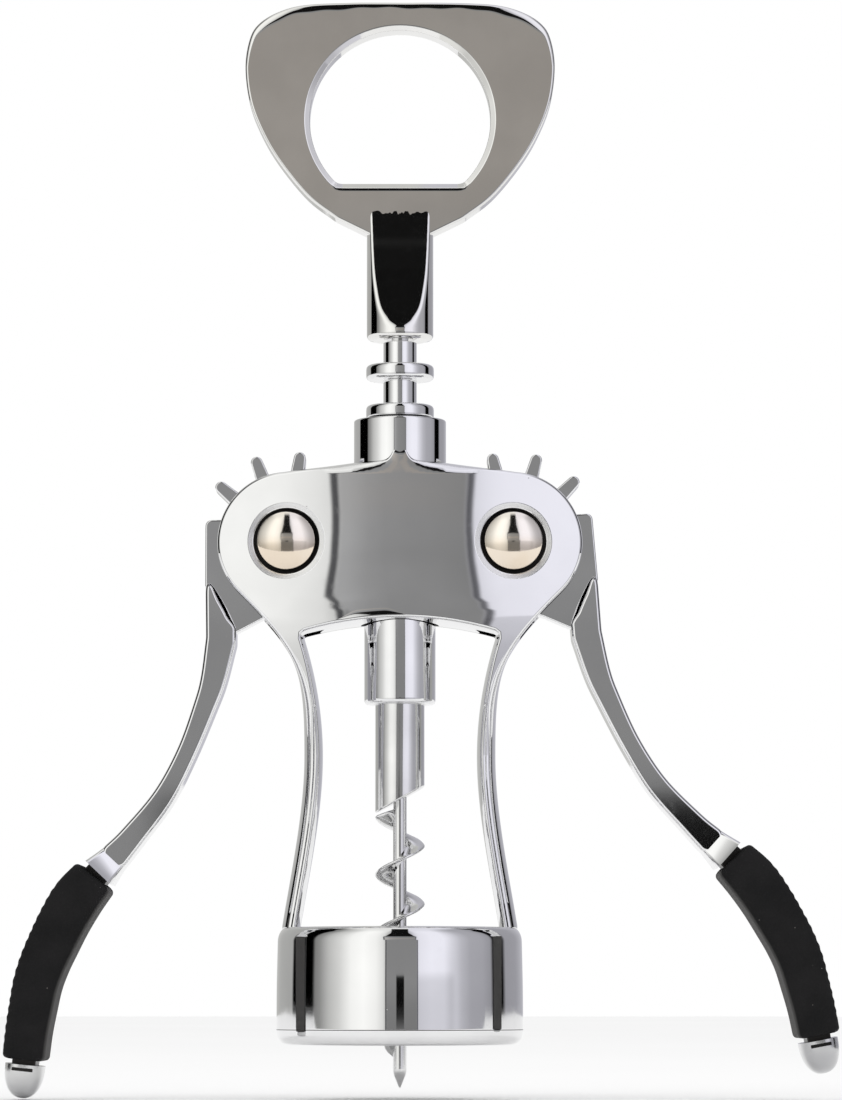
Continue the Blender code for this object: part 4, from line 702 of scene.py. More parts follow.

# A thin dark line round the bell above its foot: a shallow ring in the near-black finish
SCRIBED_LOW, SCRIBED_HIGH, SCRIBED_PROUD, SCRIBED_SUNK = 0.00240, 0.00252, 0.00002, 0.0003
scribed_line = upright(BELL_RADIUS - SCRIBED_SUNK, BELL_RADIUS + SCRIBED_PROUD, SCRIBED_LOW, SCRIBED_HIGH)
scribed = turned("casting_foot_line", scribed_line, painted_shade_black, 0.00001, 192, True)

# The collar: an upright ring on the housing, bored for the bush
collar_line = upright(BUSH_POCKET_RADIUS, COLLAR_RADIUS, CROWN_Z - 0.0022, COLLAR_TOP)
collar_ease = np.array([0.0002, 0.0004, 0.0001, 0.0001])
collar = turned("casting_collar", collar_line, casting_chrome, collar_ease, 160, True)
for piece in (casting, bell, scribed, collar):
    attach(piece, "frame")


# Collar bush
# A thin ring of black acetal pressed into the collar, in which the stem turns and slides. It is turned from
# rod, so its face shows fine rings.

acetal = Finish(bpy.data.materials.new("black_acetal"))
fine = acetal.noise(acetal.place(), 2600.0, 2.0)
black_acetal = acetal.surface(
    Base_Color=acetal.mix(fine, rgb(0.012, 0.012, 0.013), rgb(0.03, 0.03, 0.03)),
    Roughness=0.38 + fine * 0.2,
    Normal=acetal.node("ShaderNodeBump", {}, {"Distance": 0.000006, "Height": fine}),
)
BUSH_OUTER, BUSH_INNER, BUSH_LOW = 0.00645, 0.00585, 0.0969
bush_line = upright(BUSH_INNER, BUSH_OUTER, BUSH_LOW, COLLAR_TOP)
bush = turned("collar_guide", bush_line, black_acetal, 0.00015, 96, True)
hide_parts("collar_bush")
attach(bush, "bush")


# Pivot pins, nuts and washers
# Each lever turns on a steel pin with a domed head, plated in warm nickel and polished, and closed behind
# by a domed nut. Thin washers keep the gear in the middle of its slot.

# The domes' lower halves are painted browner: a painted reflection of the warm floor below the horizon
dome_nickel = polished(
    "dome_nickel", rgb(0.95, 0.90, 0.83), rgb(0.82, 0.71, 0.58), 0.09, 0.08, 0.0000008, painted_reflection_height=PIVOT_Z
)
PIN_RADIUS, PIN_END, THREAD_RADIUS, THREAD_END = 0.0024, -0.0052, 0.0015, -0.0067
NUT_RADIUS, NUT_END = 0.0018, 0.0070
DOME_RADIUS, DOME_EDGE, DOME_RISE = 0.00475, 0.0023, 0.0017
HEAD_BASE = 0.0044
WASHER_BORE, WASHER_RADIUS, WASHER_LOW, WASHER_HIGH = 0.0027, 0.0062, 0.0027, 0.0031


def dome_line(base):
    """Half section of a domed head, from its top down its side: a cap of a sphere on a short edge, with the
    sphere's radius R = (r^2 + h^2) / 2h."""
    sphere = (DOME_RADIUS**2 + DOME_RISE**2) / (2 * DOME_RISE)
    spread = math.degrees(math.asin(DOME_RADIUS / sphere))
    bow = arc(sphere, 90.0, 90.0 - spread, 14, (0.0, base + DOME_EDGE + DOME_RISE - sphere))
    bow[0, 0] = 0.0
    return [*bow, (DOME_RADIUS, base)]


def along_y(piece, side, turn):
    """Lays a piece that was turned on Z along Y, through the pivot on a side: +Z goes to turn times Y."""

    def place(spots):
        x, y, z = spots.T
        return np.stack([x + side * PIVOT_X, turn * z, PIVOT_Z - turn * y], 1)

    def way(true):
        x, y, z = true.T
        return np.stack([x, turn * z, -turn * y], 1)

    return reshaped(piece, place, way)


# The recesses are lined with a near-black sheet, painted shade for the deep gap round the domed heads, and
# have a
# satin chamfer: the lining's lip and the chamfer follow the housing's face
LINING_TOP, LINING_WALL, LIP_START, LIP_DROP = 0.0050, 0.0001, 0.0048, 0.00046
LINING_FLOOR, LINING_RADIUS, LINING_BORE = RECESS_FLOOR + 0.00012, RECESS_RADIUS - 0.00005, 0.0026
lining_line = [
    (LINING_RADIUS - LINING_WALL, LINING_TOP), (LINING_RADIUS, LINING_TOP),
    (LINING_RADIUS, LINING_FLOOR - LINING_WALL), (LINING_BORE, LINING_FLOOR - LINING_WALL),
    (LINING_BORE, LINING_FLOOR), (LINING_RADIUS - LINING_WALL, LINING_FLOOR),
]
SATIN_FALL, SATIN_THICKNESS, SATIN_PROUD = 0.00031, 0.00009, 0.00002
satin_line = [
    (RECESS_RADIUS + RECESS_CHAMFER, -SATIN_THICKNESS), (RECESS_RADIUS, -SATIN_FALL - SATIN_THICKNESS),
    (RECESS_RADIUS, -SATIN_FALL), (RECESS_RADIUS + RECESS_CHAMFER, 0.0),
]


def lip_on_face(spots, turn):
    """The lining with its lip just under the housing's curved face."""
    x, y, z = spots.T
    lip = turn * (frame_depth(x, z) - LIP_DROP)
    return np.stack([x, np.where(np.abs(y) > LIP_START, lip, y), z], 1)


def along_face(spots, turn):
    """A flat ring laid on the housing's curved face."""
    x, y, z = spots.T
    return np.stack([x, y + turn * (frame_depth(x, z) + SATIN_PROUD), z], 1)


for side, word in ((-1, "left"), (1, "right")):
    for turn, face in ((-1, "front"), (1, "rear")):
        # The lining is near black: painted shade inside the recess
        lining = turned("casting_recess_" + word + "_" + face, lining_line, painted_shade_black, 0.00004, 96, True)
        along_y(lining, side, turn)
        reshaped(lining, lambda spots: lip_on_face(spots, turn))
        satin = turned("casting_recess_rim_" + word + "_" + face, satin_line, satin_chrome, 0.00003, 96, True)
        along_y(satin, side, turn)
        reshaped(satin, lambda spots: along_face(spots, turn))
        for piece in (lining, satin):
            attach(piece, "frame")

for side, word in ((-1, "left"), (1, "right")):
    pin_line = [
        *dome_line(HEAD_BASE), (PIN_RADIUS, HEAD_BASE), (PIN_RADIUS, PIN_END),
        (THREAD_RADIUS, PIN_END), (THREAD_RADIUS, THREAD_END), (0.0, THREAD_END),
    ]
    pin = along_y(turned(word + "_domed_pin", pin_line, dome_nickel, 0.00025, 96), side, -1)
    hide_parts(word + "_pivot_pin")
    nut_line = [*dome_line(HEAD_BASE), (NUT_RADIUS, HEAD_BASE), (NUT_RADIUS, NUT_END), (0.0, NUT_END)]
    nut = along_y(turned(word + "_domed_nut", nut_line, dome_nickel, 0.00025, 96), side, 1)
    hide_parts(word + "_pivot_nut")
    for piece in (pin, nut):
        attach(piece, "frame")
    for turn, face in ((-1, "front"), (1, "rear")):
        washer_line = upright(WASHER_BORE, WASHER_RADIUS, WASHER_LOW, WASHER_HIGH)
        washer = turned(word + "_" + face + "_thrust_ring", washer_line, black_acetal, 0.00008, 64, True)
        along_y(washer, side, turn)
        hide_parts(word + "_" + face + "_washer")
        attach(washer, "frame")


# Levers
# Each lever is one chrome-plated casting: a thin gear with finger-shaped teeth, a thicker arm that starts
# as a leaf on the gear, and a flared end that meets the grip. The right one stands a little further open.

lever_chrome = polished("lever_chrome", rgb(0.85, 0.85, 0.855), rgb(0.80, 0.80, 0.81), 0.035)
RACK_PITCH, GEAR_PITCH_RADIUS, GEAR_ROOT = 0.0067, 0.0132, 0.0108
TOOTH_BASE_HALF, TOOTH_TIP_HALF, TOOTH_COUNT = 0.00122, 0.00098, 7
MESH_DROP, MESH_TURN_DEG = 0.0017, 1.7
BLOCK_REACH, BLOCK_TOP, BLOCK_ROUNDING = 0.01342, 0.0038, 0.001
HEEL_SHARES = ((-0.83, -0.62), (-0.76, -1.05), (-0.59, -1.0), (-0.25, -0.82))
LEVER_REACH, RIGHT_OPENING_DEG = 0.0942, 4.9


def gear_line():
    """The gear's outline, counterclockwise round the pivot: teeth with round ends, the root block and
    heel."""
    pitch = RACK_PITCH / GEAR_PITCH_RADIUS
    phase = -MESH_DROP / GEAR_PITCH_RADIUS + math.radians(MESH_TURN_DEG)
    base = math.sqrt(GEAR_ROOT**2 - TOOTH_BASE_HALF**2)
    root = (GEAR_ROOT * math.cos(pitch / 2), -GEAR_ROOT * math.sin(pitch / 2))
    tip = arc(TOOTH_TIP_HALF, -84.0, 84.0, 13, (GEAR_TIP - TOOTH_TIP_HALF, 0.0))
    x, z = np.concatenate([[root, (base, -TOOTH_BASE_HALF)], tip, [(base, TOOTH_BASE_HALF)]]).T
    angles = phase + pitch * (np.arange(TOOTH_COUNT) - 1)
    c, s = np.cos(angles)[:, None], np.sin(angles)[:, None]
    teeth = np.stack([c * x - s * z, s * x + c * z], -1).reshape(-1, 2)
    start = arc(GEAR_ROOT, -75.0, -75.0, 1)
    block_start = 180.0 - math.degrees(math.asin(BLOCK_TOP / GEAR_ROOT))
    last = math.degrees(angles[-1] + math.asin(TOOTH_BASE_HALF / GEAR_ROOT))
    back = arc(GEAR_ROOT, last + 6.0, block_start, 8)
    corner = arc(BLOCK_ROUNDING, 90.0, 180.0, 6, (BLOCK_ROUNDING - BLOCK_REACH, BLOCK_TOP - BLOCK_ROUNDING))
    side = np.array([[-BLOCK_REACH, -0.48 * GEAR_TIP]])
    return np.concatenate([start, teeth, back, corner, side, np.array(HEEL_SHARES) * GEAR_TIP])


def through(stations, steps):
    """A Catmull-Rom curve through stations: 0.5 (2b + (c-a)t + (2a-5b+4c-d)t^2 + (3b-a-3c+d)t^3)."""
    points = np.asarray(stations, float)
    points = np.concatenate([[2 * points[0] - points[1]], points, [2 * points[-1] - points[-2]]])
    a, b, c, d = (points[k : len(points) - 3 + k, None] for k in range(4))
    t = (np.arange(steps) / steps)[None, :, None]
    run = 0.5 * (2 * b + (c - a) * t + (2 * a - 5 * b + 4 * c - d) * t**2 + (3 * b - a - 3 * c + d) * t**3)
    return np.concatenate([run.reshape(-1, points.shape[1]), points[-2:-1]])


def across(rail):
    """Unit vectors across a rail of (x, z, half width), to the lever's outer side: (dz, -dx)."""
    along = np.gradient(rail[:, :2], axis=0)
    return unit(np.stack([along[:, 1], -along[:, 0]], 1))


def run_length(rail):
    """How far along a rail each point lies."""
    return np.concatenate([[0.0], np.cumsum(np.linalg.norm(np.diff(rail[:, :2], axis=0), axis=1))])


def cut_rail(rail, start, end, count):
    """Evenly spaced points of a rail between two distances; beyond its ends it runs on straight."""
    along = run_length(rail)
    want = np.linspace(start, end, count)
    inside = np.stack([np.interp(want, along, rail[:, k]) for k in range(3)], 1)
    first, last = unit(rail[1] - rail[0]), unit(rail[-1] - rail[-2])
    inside += np.minimum(want, 0.0)[:, None] * first + np.maximum(want - along[-1], 0.0)[:, None] * last
    return inside


# Stations down the arm and the grip: (x, z, half width) from the pivot, in shares of the lever's reach
arm_rail = LEVER_REACH * through(
    [
        (-0.114, -0.172, 0.0265), (-0.127, -0.240, 0.0223), (-0.142, -0.287, 0.0196),
        (-0.173, -0.367, 0.0172), (-0.213, -0.444, 0.0186), (-0.266, -0.512, 0.0212),
        (-0.295, -0.545, 0.0244), (-0.324, -0.576, 0.0292),
    ],
    12,
)
grip_rail = LEVER_REACH * through(
    [
        (-0.331, -0.582, 0.0382), (-0.363, -0.621, 0.0425), (-0.385, -0.658, 0.0425),
        (-0.403, -0.695, 0.0419), (-0.419, -0.731, 0.0409), (-0.431, -0.767, 0.0398),
        (-0.439, -0.808, 0.0387), (-0.446, -0.850, 0.0377), (-0.451, -0.898, 0.0366),
    ],
    16,
)
ARM_DEPTH, GEAR_DEPTH = 0.0042, 0.0024
ARM_ROUNDING, GEAR_ROUNDING = 0.00045, 0.00028
LEAF_SHARES = ((-0.845, -0.40), (-0.874, -0.43), (-0.64, -0.68), (-0.545, -0.935))
LEAF_SIDE, ARM_END = 0.0020, 0.0024
FLARE_LENGTH, FLARE_DEPTH = 0.0046, 0.0062


def arm_line():
    """The arm's outline: the leaf-shaped top, then both edges of the rail down into the flare."""
    length = run_length(arm_rail)[-1]
    rail = cut_rail(arm_rail, 0.0, length - FLARE_LENGTH * 0.85, 70)
    side = across(rail) * rail[:, 2:]
    tip, shoulder, control, heel = np.array(LEAF_SHARES) * GEAR_TIP
    leaf = curve([heel, control, tip], 16)[:-3]
    corner = curve([leaf[-1], tip, shoulder, shoulder - (0.0, LEAF_SIDE)], 12)[1:]
    outer, inner = rail[:, :2] + side, rail[:, :2] - side
    on = unit(rail[-1, :2] - rail[-2, :2]) * ARM_END
    end = curve([outer[-1], outer[-1] + on, inner[-1] + on, inner[-1]], 14)[1:-1]
    return np.concatenate([leaf, corner, outer, end, inner[::-1]])


def loft(name, rail, sections, section_normals, material):
    """A closed body along a rail: each section's (across, y) points stand on the rail's cross direction,
    and flat ends close it. The normals lean along the rail where the sections grow or shrink."""
    side = across(rail)
    count, around = sections.shape[:2]
    points = np.empty((count, around, 3))
    points[..., 0] = rail[:, None, 0] + side[:, None, 0] * sections[..., 0]
    points[..., 1] = sections[..., 1]
    points[..., 2] = rail[:, None, 1] + side[:, None, 1] * sections[..., 0]
    normals = np.empty_like(points)
    normals[..., 0] = side[:, None, 0] * section_normals[..., 0]
    normals[..., 1] = section_normals[..., 1]
    normals[..., 2] = side[:, None, 1] * section_normals[..., 0]
    along = unit(np.gradient(points, axis=0))
    normals = unit(normals - along * np.sum(normals * along, -1, keepdims=True))
    numbers = np.arange(count * around).reshape(count, around)
    faces = strip_quads(numbers).tolist()
    everything, all_normals = [points.reshape(-1, 3)], [normals.reshape(-1, 3)]
    total = count * around
    for row, step in ((0, points[0] - points[1]), (-1, points[-1] - points[-2])):
        centre = points[row].mean(0)
        away = np.broadcast_to(unit(step.mean(0)), points[row].shape)
        everything += [centre + (points[row] - centre) * 0.999, centre[None]]
        all_normals += [away, away[:1]]
        near = np.arange(total, total + around)
        band = strip_quads(np.array([near, numbers[row]]))
        faces += (band if row == 0 else band[:, ::-1]).tolist()
        faces += fan_to(total + around, near, row != 0).tolist()
        total += around + 1
    return make_piece(name, np.concatenate(everything), faces, np.concatenate(all_normals), material)


def rounded_section(half_width, half_depth, radius, steps=6, flats=5):
    """Points and normals round a rectangle with round corners, from (across, y) of its outer back corner
    on. All sizes are arrays along the rail. Flat sides get extra points."""
    corner_points, corner_normals = [], []
    signs = ((1, 1), (-1, 1), (-1, -1), (1, -1))
    for k, (sx, sy) in enumerate(signs):
        angle = np.radians(90.0 * k + np.linspace(0.0, 90.0, steps + 1))
        px = sx * (half_width - radius)[:, None] + radius[:, None] * np.cos(angle)
        py = sy * (half_depth - radius)[:, None] + radius[:, None] * np.sin(angle)
        corner_points.append(np.stack([px, py], -1))
        one = np.stack([np.cos(angle), np.sin(angle)], -1)
        corner_normals.append(np.broadcast_to(one, (len(half_width), *one.shape)))
    points, normals = [], []
    for k in range(4):
        here, following = corner_points[k], corner_points[(k + 1) % 4]
        points.append(here)
        normals.append(corner_normals[k])
        share = (np.arange(1, flats) / flats)[None, :, None]
        points.append(here[:, -1:] * (1 - share) + following[:, :1] * share)
        normals.append(np.broadcast_to(corner_normals[k][:, -1:], (len(half_width), flats - 1, 2)))
    return np.concatenate(points, 1)[:, ::-1], np.concatenate(normals, 1)[:, ::-1]


def swung(piece, side, turn_deg):
    """Puts a left lever's piece on its pivot; side +1 mirrors it for the right lever, then opens it."""
    mesh = piece.data
    c, s = math.cos(math.radians(turn_deg)), math.sin(math.radians(turn_deg))

    def turned_round(vectors):
        x, y, z = vectors.T
        x = -side * x
        return np.stack([c * x + s * z, y, -s * x + c * z], 1)

    def place(spots):
        return turned_round(spots) + (side * PIVOT_X, 0.0, PIVOT_Z)

    def way(true):
        true = turned_round(true)
        if side < 0:
            return true
        starts, totals = (np.empty(len(mesh.polygons), np.int32) for _ in range(2))
        mesh.polygons.foreach_get("loop_start", starts)
        mesh.polygons.foreach_get("loop_total", totals)
        mesh.flip_normals()
        first, total = np.repeat(starts, totals), np.repeat(totals, totals)
        return true[first + (total - (np.arange(len(true)) - first)) % total]

    return reshaped(piece, place, way)


arm_length, grip_length = run_length(arm_rail)[-1], run_length(grip_rail)[-1]
HALF_FLARE_START, FLARE_ROUNDING, LEVER_BORE = ARM_DEPTH - 0.0003, 0.0007, 0.0027
CORE_INSET, CORE_DEPTH, CORE_ROUNDING, CORE_ABOVE, CORE_BELOW = 0.0015, 0.0040, 0.0003, 0.003, 0.0028
WINGS = ((-1, "left", 0.0), (1, "right", -RIGHT_OPENING_DEG))
for side, word, turn in WINGS:
    rim = edge(eased(divided(gear_line(), 0.0012), 0.00035), round_rim(GEAR_ROUNDING, 0.0, 6))
    bore = edge(eased(arc(LEVER_BORE, 360.0, 0.0, 49)[:-1], 0.0001), round_rim(0.0001, 0.0, 2))
    gear = plate(word + "_gear", [rim, bore], flat_depth(GEAR_DEPTH), lever_chrome, 0.0016)
    line, outward = eased(divided(arm_line(), 0.0012), 0.0005)
    on_leaf = soft_step(line[:, 1], -0.0142, -0.0120) * soft_step(line[:, 1], -0.0066, -0.0095)
    flatter = 2.5 + 10.0 * on_leaf * soft_step(outward[:, 0], 0.3, 0.6)
    rim = edge((line, outward), round_rim(ARM_ROUNDING, 0.0, 12, flatter))
    arm = plate(word + "_arm", [rim], flat_depth(ARM_DEPTH), lever_chrome, 0.0014)
    rail = cut_rail(arm_rail, arm_length - FLARE_LENGTH, arm_length, 20)
    share = np.linspace(0.0, 1.0, len(rail))
    deep = HALF_FLARE_START + (FLARE_DEPTH - HALF_FLARE_START) * share**1.8
    section = rounded_section(rail[:, 2] - 0.0001 * (1 - 2 * share), deep, np.full(len(rail), FLARE_ROUNDING))
    flare = loft(word + "_arm_flare", rail, *section, lever_chrome)
    # The core under the sleeve is near black: painted shade in the gaps between the sleeve, the flare and the
    # cap
    rail = cut_rail(grip_rail, -CORE_ABOVE, grip_length + CORE_BELOW, 60)
    deep, rounding = (np.full(len(rail), size) for size in (CORE_DEPTH, CORE_ROUNDING))
    section = rounded_section(rail[:, 2] - CORE_INSET, deep, rounding, 3, 3)
    core = loft(word + "_core", rail, *section, painted_shade_black)
    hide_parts(word + "_lever")
    for piece in (gear, arm, flare, core):
        swung(piece, side, turn)
        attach(piece, word + "_wing")


# Grips
# Sleeves of soft black rubber, moulded and pushed over the lever's core. They are matt, flecked with dust,
# and ribbed across along their outer edge. Their inner side is painted lighter: a painted sheen.

rubber = Finish(bpy.data.materials.new("sleeve_rubber"))
place = rubber.place()
grain = rubber.noise(place, 3800.0, 3.0, 0.65)
patch = rubber.noise(place, 150.0, 3.0)
dust = rubber.specks(place, 700.0, 0.07, 0.10)
tone = rubber.mix(rubber.ease(patch, 0.3, 0.75), rgb(0.0062, 0.0062, 0.0065), rgb(0.0105, 0.010, 0.0105))
tone = rubber.mix(rubber.ease(grain, 0.62, 0.8) * 0.5, tone, rgb(0.03, 0.03, 0.03))
tone = rubber.mix(dust * 0.55, tone, rgb(0.35, 0.33, 0.31))
# The inner side of each sleeve is painted lighter: a painted sheen, as the rubber shows at grazing angles
inner_side = rubber.node("ShaderNodeAttribute", {"attribute_name": "painted_sheen_side"}).of("Fac")
tone = rubber.mix(inner_side * rubber.ease(grain, 0.2, 0.7, 0.7, 1.0), tone, rgb(0.075, 0.073, 0.071))
sleeve_rubber = rubber.surface(
    Base_Color=tone,
    Roughness=rubber.ease(grain, 0.2, 0.8, 0.6, 0.85),
    Specular_IOR_Level=0.16,
    Normal=rubber.node("ShaderNodeBump", {}, {"Strength": 0.8, "Distance": 0.00003, "Height": grain}),
)
GRIP_DEPTH, GRIP_ROUNDING, GRIP_END = 0.0067, 0.0016, 0.0008
RIB_PITCH, RIB_DEPTH = 0.00145, 0.00011

for side, word, turn in WINGS:
    rail = cut_rail(grip_rail, 0.0, grip_length, 240)
    along = np.linspace(0.0, grip_length, len(rail))
    end_distance = np.minimum(np.minimum(along, grip_length - along) / GRIP_END, 1.0)
    inset = GRIP_END * (1 - np.sqrt(1 - (1 - end_distance) ** 2))
    rounding = np.full(len(rail), GRIP_ROUNDING)
    points, normals = rounded_section(rail[:, 2] - inset, GRIP_DEPTH - inset, rounding, 6, 6)
    ribbed = soft_step(along, 0.003, 0.006) * soft_step(grip_length - along, 0.001, 0.004)
    ribs = RIB_DEPTH * ribbed * (0.5 - 0.5 * np.cos(2 * math.pi * along / RIB_PITCH))
    outer_side = soft_step(points[..., 0], 0.0012, 0.0026)
    points = points - normals * (ribs[:, None] * outer_side)[..., None]
    sleeve = loft(word + "_rubber_sleeve", rail, points, normals, sleeve_rubber)
    # The share of painted sheen at each point: high on the sleeve's inner side
    sheen_share = np.zeros(len(sleeve.data.vertices), np.float32)
    sheen_share[: normals.size // 2] = soft_step(-normals[..., 0], 0.72, 0.95).ravel()
    sleeve.data.attributes.new("painted_sheen_side", "FLOAT", "POINT").data.foreach_set("value", sheen_share)
    swung(sleeve, side, turn)
    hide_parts(word + "_grip")
    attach(sleeve, word + "_wing")


# End caps
# Chrome caps under the grips that hold the sleeves on: rounded, closed at the tip, with a narrow catch
# window in the front face, drawn as a near-black plate on it: painted shade for the opening.

cap_chrome = polished("cap_chrome", rgb(0.66, 0.66, 0.66), rgb(0.50, 0.50, 0.51), 0.17, 0.1, 0.0000015)
CAP_HALF_WIDTH, CAP_HALF_DEPTH, CAP_LENGTH, CAP_GAP, CAP_AROUND = 0.0032, 0.0058, 0.0055, 0.0008, 72
CATCH_HALF_WIDTH, CATCH_HEIGHT, CATCH_DROP = 0.0017, 0.00055, 0.0005

# Rows down the cap at shares s of its length, of a superellipse |x|^3 + |y|^3 = 1 that narrows towards the
# tip
onward = unit(grip_rail[-1, :2] - grip_rail[-2, :2])
top = grip_rail[-1, :2] + onward * CAP_GAP
cross = np.array([onward[1], -onward[0]])
down = np.array([onward[0], 0.0, onward[1]])
share = np.sin(np.linspace(0.0, math.pi / 2, 22)[:-1])[:, None]
angle = np.linspace(0.0, 2 * math.pi, CAP_AROUND, endpoint=False)
c, s = np.cos(angle), np.sin(angle)
swell = (np.abs(c) ** 3 + np.abs(s) ** 3) ** (-1 / 3)
wide = CAP_HALF_WIDTH * (1 - share**2.3) ** (1 / 2.3) * (swell * c)
deep = CAP_HALF_DEPTH * (1 - 0.42 * share**3) * np.sqrt(np.clip(1 - share**8, 0.0, 1.0)) * (swell * s)
flat = top + (CAP_LENGTH * share)[..., None] * onward + wide[..., None] * cross
points = np.stack([flat[..., 0], deep, flat[..., 1]], -1)
round_way = np.roll(points, -1, 1) - np.roll(points, 1, 1)
normals = unit(np.cross(round_way, np.gradient(points, axis=0)))
tip = np.array([top[0], 0.0, top[1]]) + down * CAP_LENGTH
lid = points[0].mean(0)
rim_row = lid + (points[0] - lid) * 0.97
cap_spots = np.concatenate([points.reshape(-1, 3), [tip], rim_row, [lid]])
cap_normals = np.concatenate([normals.reshape(-1, 3), [down], np.tile(-down, (CAP_AROUND + 1, 1))])
numbers = np.arange(points[..., 0].size).reshape(-1, CAP_AROUND)
rim_numbers = numbers.size + 1 + np.arange(CAP_AROUND)
cap_faces = [
    *strip_quads(np.concatenate([rim_numbers[None], numbers]))[:, ::-1].tolist(),
    *fan_to(numbers.size, numbers[-1]).tolist(),
    *fan_to(rim_numbers[-1] + 1, rim_numbers, True).tolist(),
]
corners = np.array([(-1, 0), (1, 0), (1, 1), (-1, 1)]) * (CATCH_HALF_WIDTH, CATCH_HEIGHT) + (0.0, CATCH_DROP)
catch_line = eased(top + corners[:, :1] * cross + corners[:, 1:] * onward, 0.0001)

for side, word, turn in WINGS:
    cap = make_piece(word + "_chrome_cap", cap_spots, cap_faces, cap_normals, cap_chrome)
    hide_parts(word + "_end_cap")
    rim = edge(catch_line, round_rim(0.00003, 0.0, 2))
    # The catch window is a near-black plate just proud of the cap's face: painted shade standing in for the
    # opening
    window = plate(word + "_catch_window", [rim], flat_depth(CAP_HALF_DEPTH + 0.00001), painted_shade_black, 0.002)
    for piece in (cap, window):
        swung(piece, side, turn)
        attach(piece, word + "_wing")


# Stem
# A steel bar turned on a lathe: full rings as a rack for both gears, and a thick hub below that takes the
# worm. It is chrome plated, and two small pins lock the handle and the worm to it.

stem_chrome = polished("stem_chrome", rgb(0.85, 0.85, 0.855), rgb(0.79, 0.79, 0.80), 0.04, 0.05, 0.000001)
CORE_RADIUS, RING_RADIUS, RING_HALF, RING_COUNT = 0.00275, 0.0056, 0.00125, 6
TOP_RING_Z, NECK_BOTTOM = 0.11065, 0.1160
SPIGOT_RADIUS, SPIGOT_LENGTH, SPIGOT_SINK = 0.0022, 0.0088, 0.0003
HUB_RADIUS, HUB_TOP, HUB_BOTTOM = 0.00585, 0.0717, 0.05565
SOCKET_RADIUS, SOCKET_DEPTH = 0.00433, 0.0103
# Each corner of the stem's section is given as radius, height and easing
stem_section = [
    (0.0, NECK_BOTTOM + SPIGOT_LENGTH, 0.0002), (SPIGOT_RADIUS, NECK_BOTTOM + SPIGOT_LENGTH, 0.0002),
    (SPIGOT_RADIUS, NECK_BOTTOM - SPIGOT_SINK, 0.0001), (CORE_RADIUS, NECK_BOTTOM - SPIGOT_SINK, 0.0001),
]
for k in range(RING_COUNT):
    ring_z = TOP_RING_Z - k * RACK_PITCH
    high, low = ring_z + RING_HALF, ring_z - RING_HALF
    stem_section += [
        (CORE_RADIUS, high, 0.0002), (RING_RADIUS, high, 0.0008),
        (RING_RADIUS, low, 0.0008), (CORE_RADIUS, low, 0.0002),
    ]
stem_section += [
    (CORE_RADIUS, HUB_TOP, 0.0002), (HUB_RADIUS, HUB_TOP, 0.0009), (HUB_RADIUS, HUB_BOTTOM, 0.0009),
    (SOCKET_RADIUS, HUB_BOTTOM, 0.0002), (SOCKET_RADIUS, HUB_BOTTOM + SOCKET_DEPTH, 0.0002),
    (0.0, HUB_BOTTOM + SOCKET_DEPTH, 0.0002),
]
stem_section = np.array(stem_section)
stem = turned("ringed_stem", stem_section[:, :2], stem_chrome, stem_section[:, 2])
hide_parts("rack_stem")
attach(stem, "stem")

worm_steel = polished("worm_steel", rgb(0.82, 0.82, 0.82), rgb(0.72, 0.72, 0.72), 0.08, 0.06, 0.000001, 0.1)
CROSS_PIN_RADIUS = 0.0008
HANDLE_PIN_HALF, HANDLE_PIN_Z = 0.0054, NECK_BOTTOM + 0.0044
WORM_PIN_HALF, WORM_PIN_Z = 0.00575, HUB_BOTTOM + 0.005


def cross_pin(name, half_length, height, node):
    """A short pin across the stem: a rod with eased ends, laid along X."""
    piece = turned(name, upright(0.0, CROSS_PIN_RADIUS, -half_length, half_length), worm_steel, 0.00015, 48)
    reshaped(
        piece,
        lambda spots: spots[:, ::-1] * (1, 1, -1) + (0, 0, height),
        lambda true: true[:, ::-1] * (1, 1, -1),
    )
    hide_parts(node)
    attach(piece, "stem")


cross_pin("handle_lock_pin", HANDLE_PIN_HALF, HANDLE_PIN_Z, "handle_cross_pin")
cross_pin("worm_lock_pin", WORM_PIN_HALF, WORM_PIN_Z, "worm_cross_pin")


# Worm
# A hardened steel screw with a thick shank, a straight solid core and one thin flight that winds round it
# and fades out at the sharp point. It is ground, then plated.

SHANK_RADIUS, SHANK_TOP, SHANK_END, SHANK_SLANT = 0.00403, HUB_BOTTOM + 0.010, 0.03995, 0.0022
WORM_TIP, AUGER_RADIUS, POINT_LENGTH, POINT_RADIUS = -0.00695, 0.0011, 0.0024, 0.00012
FLIGHT_RADIUS, FLIGHT_PITCH = 0.00407, 0.0095
START_DEG, FLIGHT_START_DROP, FLIGHT_END_RISE = 205.0, 0.0023, 0.0042


def slanted(spots):
    """The shank's lower end is ground at a slant: it drops on the left and rises on the right."""
    low = spots[:, 2] < HUB_BOTTOM - 0.001
    return spots + np.outer(low * SHANK_SLANT * spots[:, 0] / SHANK_RADIUS, (0.0, 0.0, 1.0))


shank_line = upright(0.0, SHANK_RADIUS, SHANK_END, SHANK_TOP)
shank_ease = np.array([0.0002, 0.0003, 0.00035, 0.0002])
shank = reshaped(turned("worm_shank", shank_line, worm_steel, shank_ease, 96), slanted)
core_section = np.array(
    [
        (0.0, SHANK_END + SHANK_SLANT, 0.0002), (AUGER_RADIUS, SHANK_END + SHANK_SLANT, 0.0002),
        (AUGER_RADIUS, WORM_TIP + POINT_LENGTH, 0.0006), (POINT_RADIUS, WORM_TIP, 0.00005),
        (0.0, WORM_TIP, 0.00005),
    ]
)
core = turned("worm_core", core_section[:, :2], worm_steel, core_section[:, 2], 64)


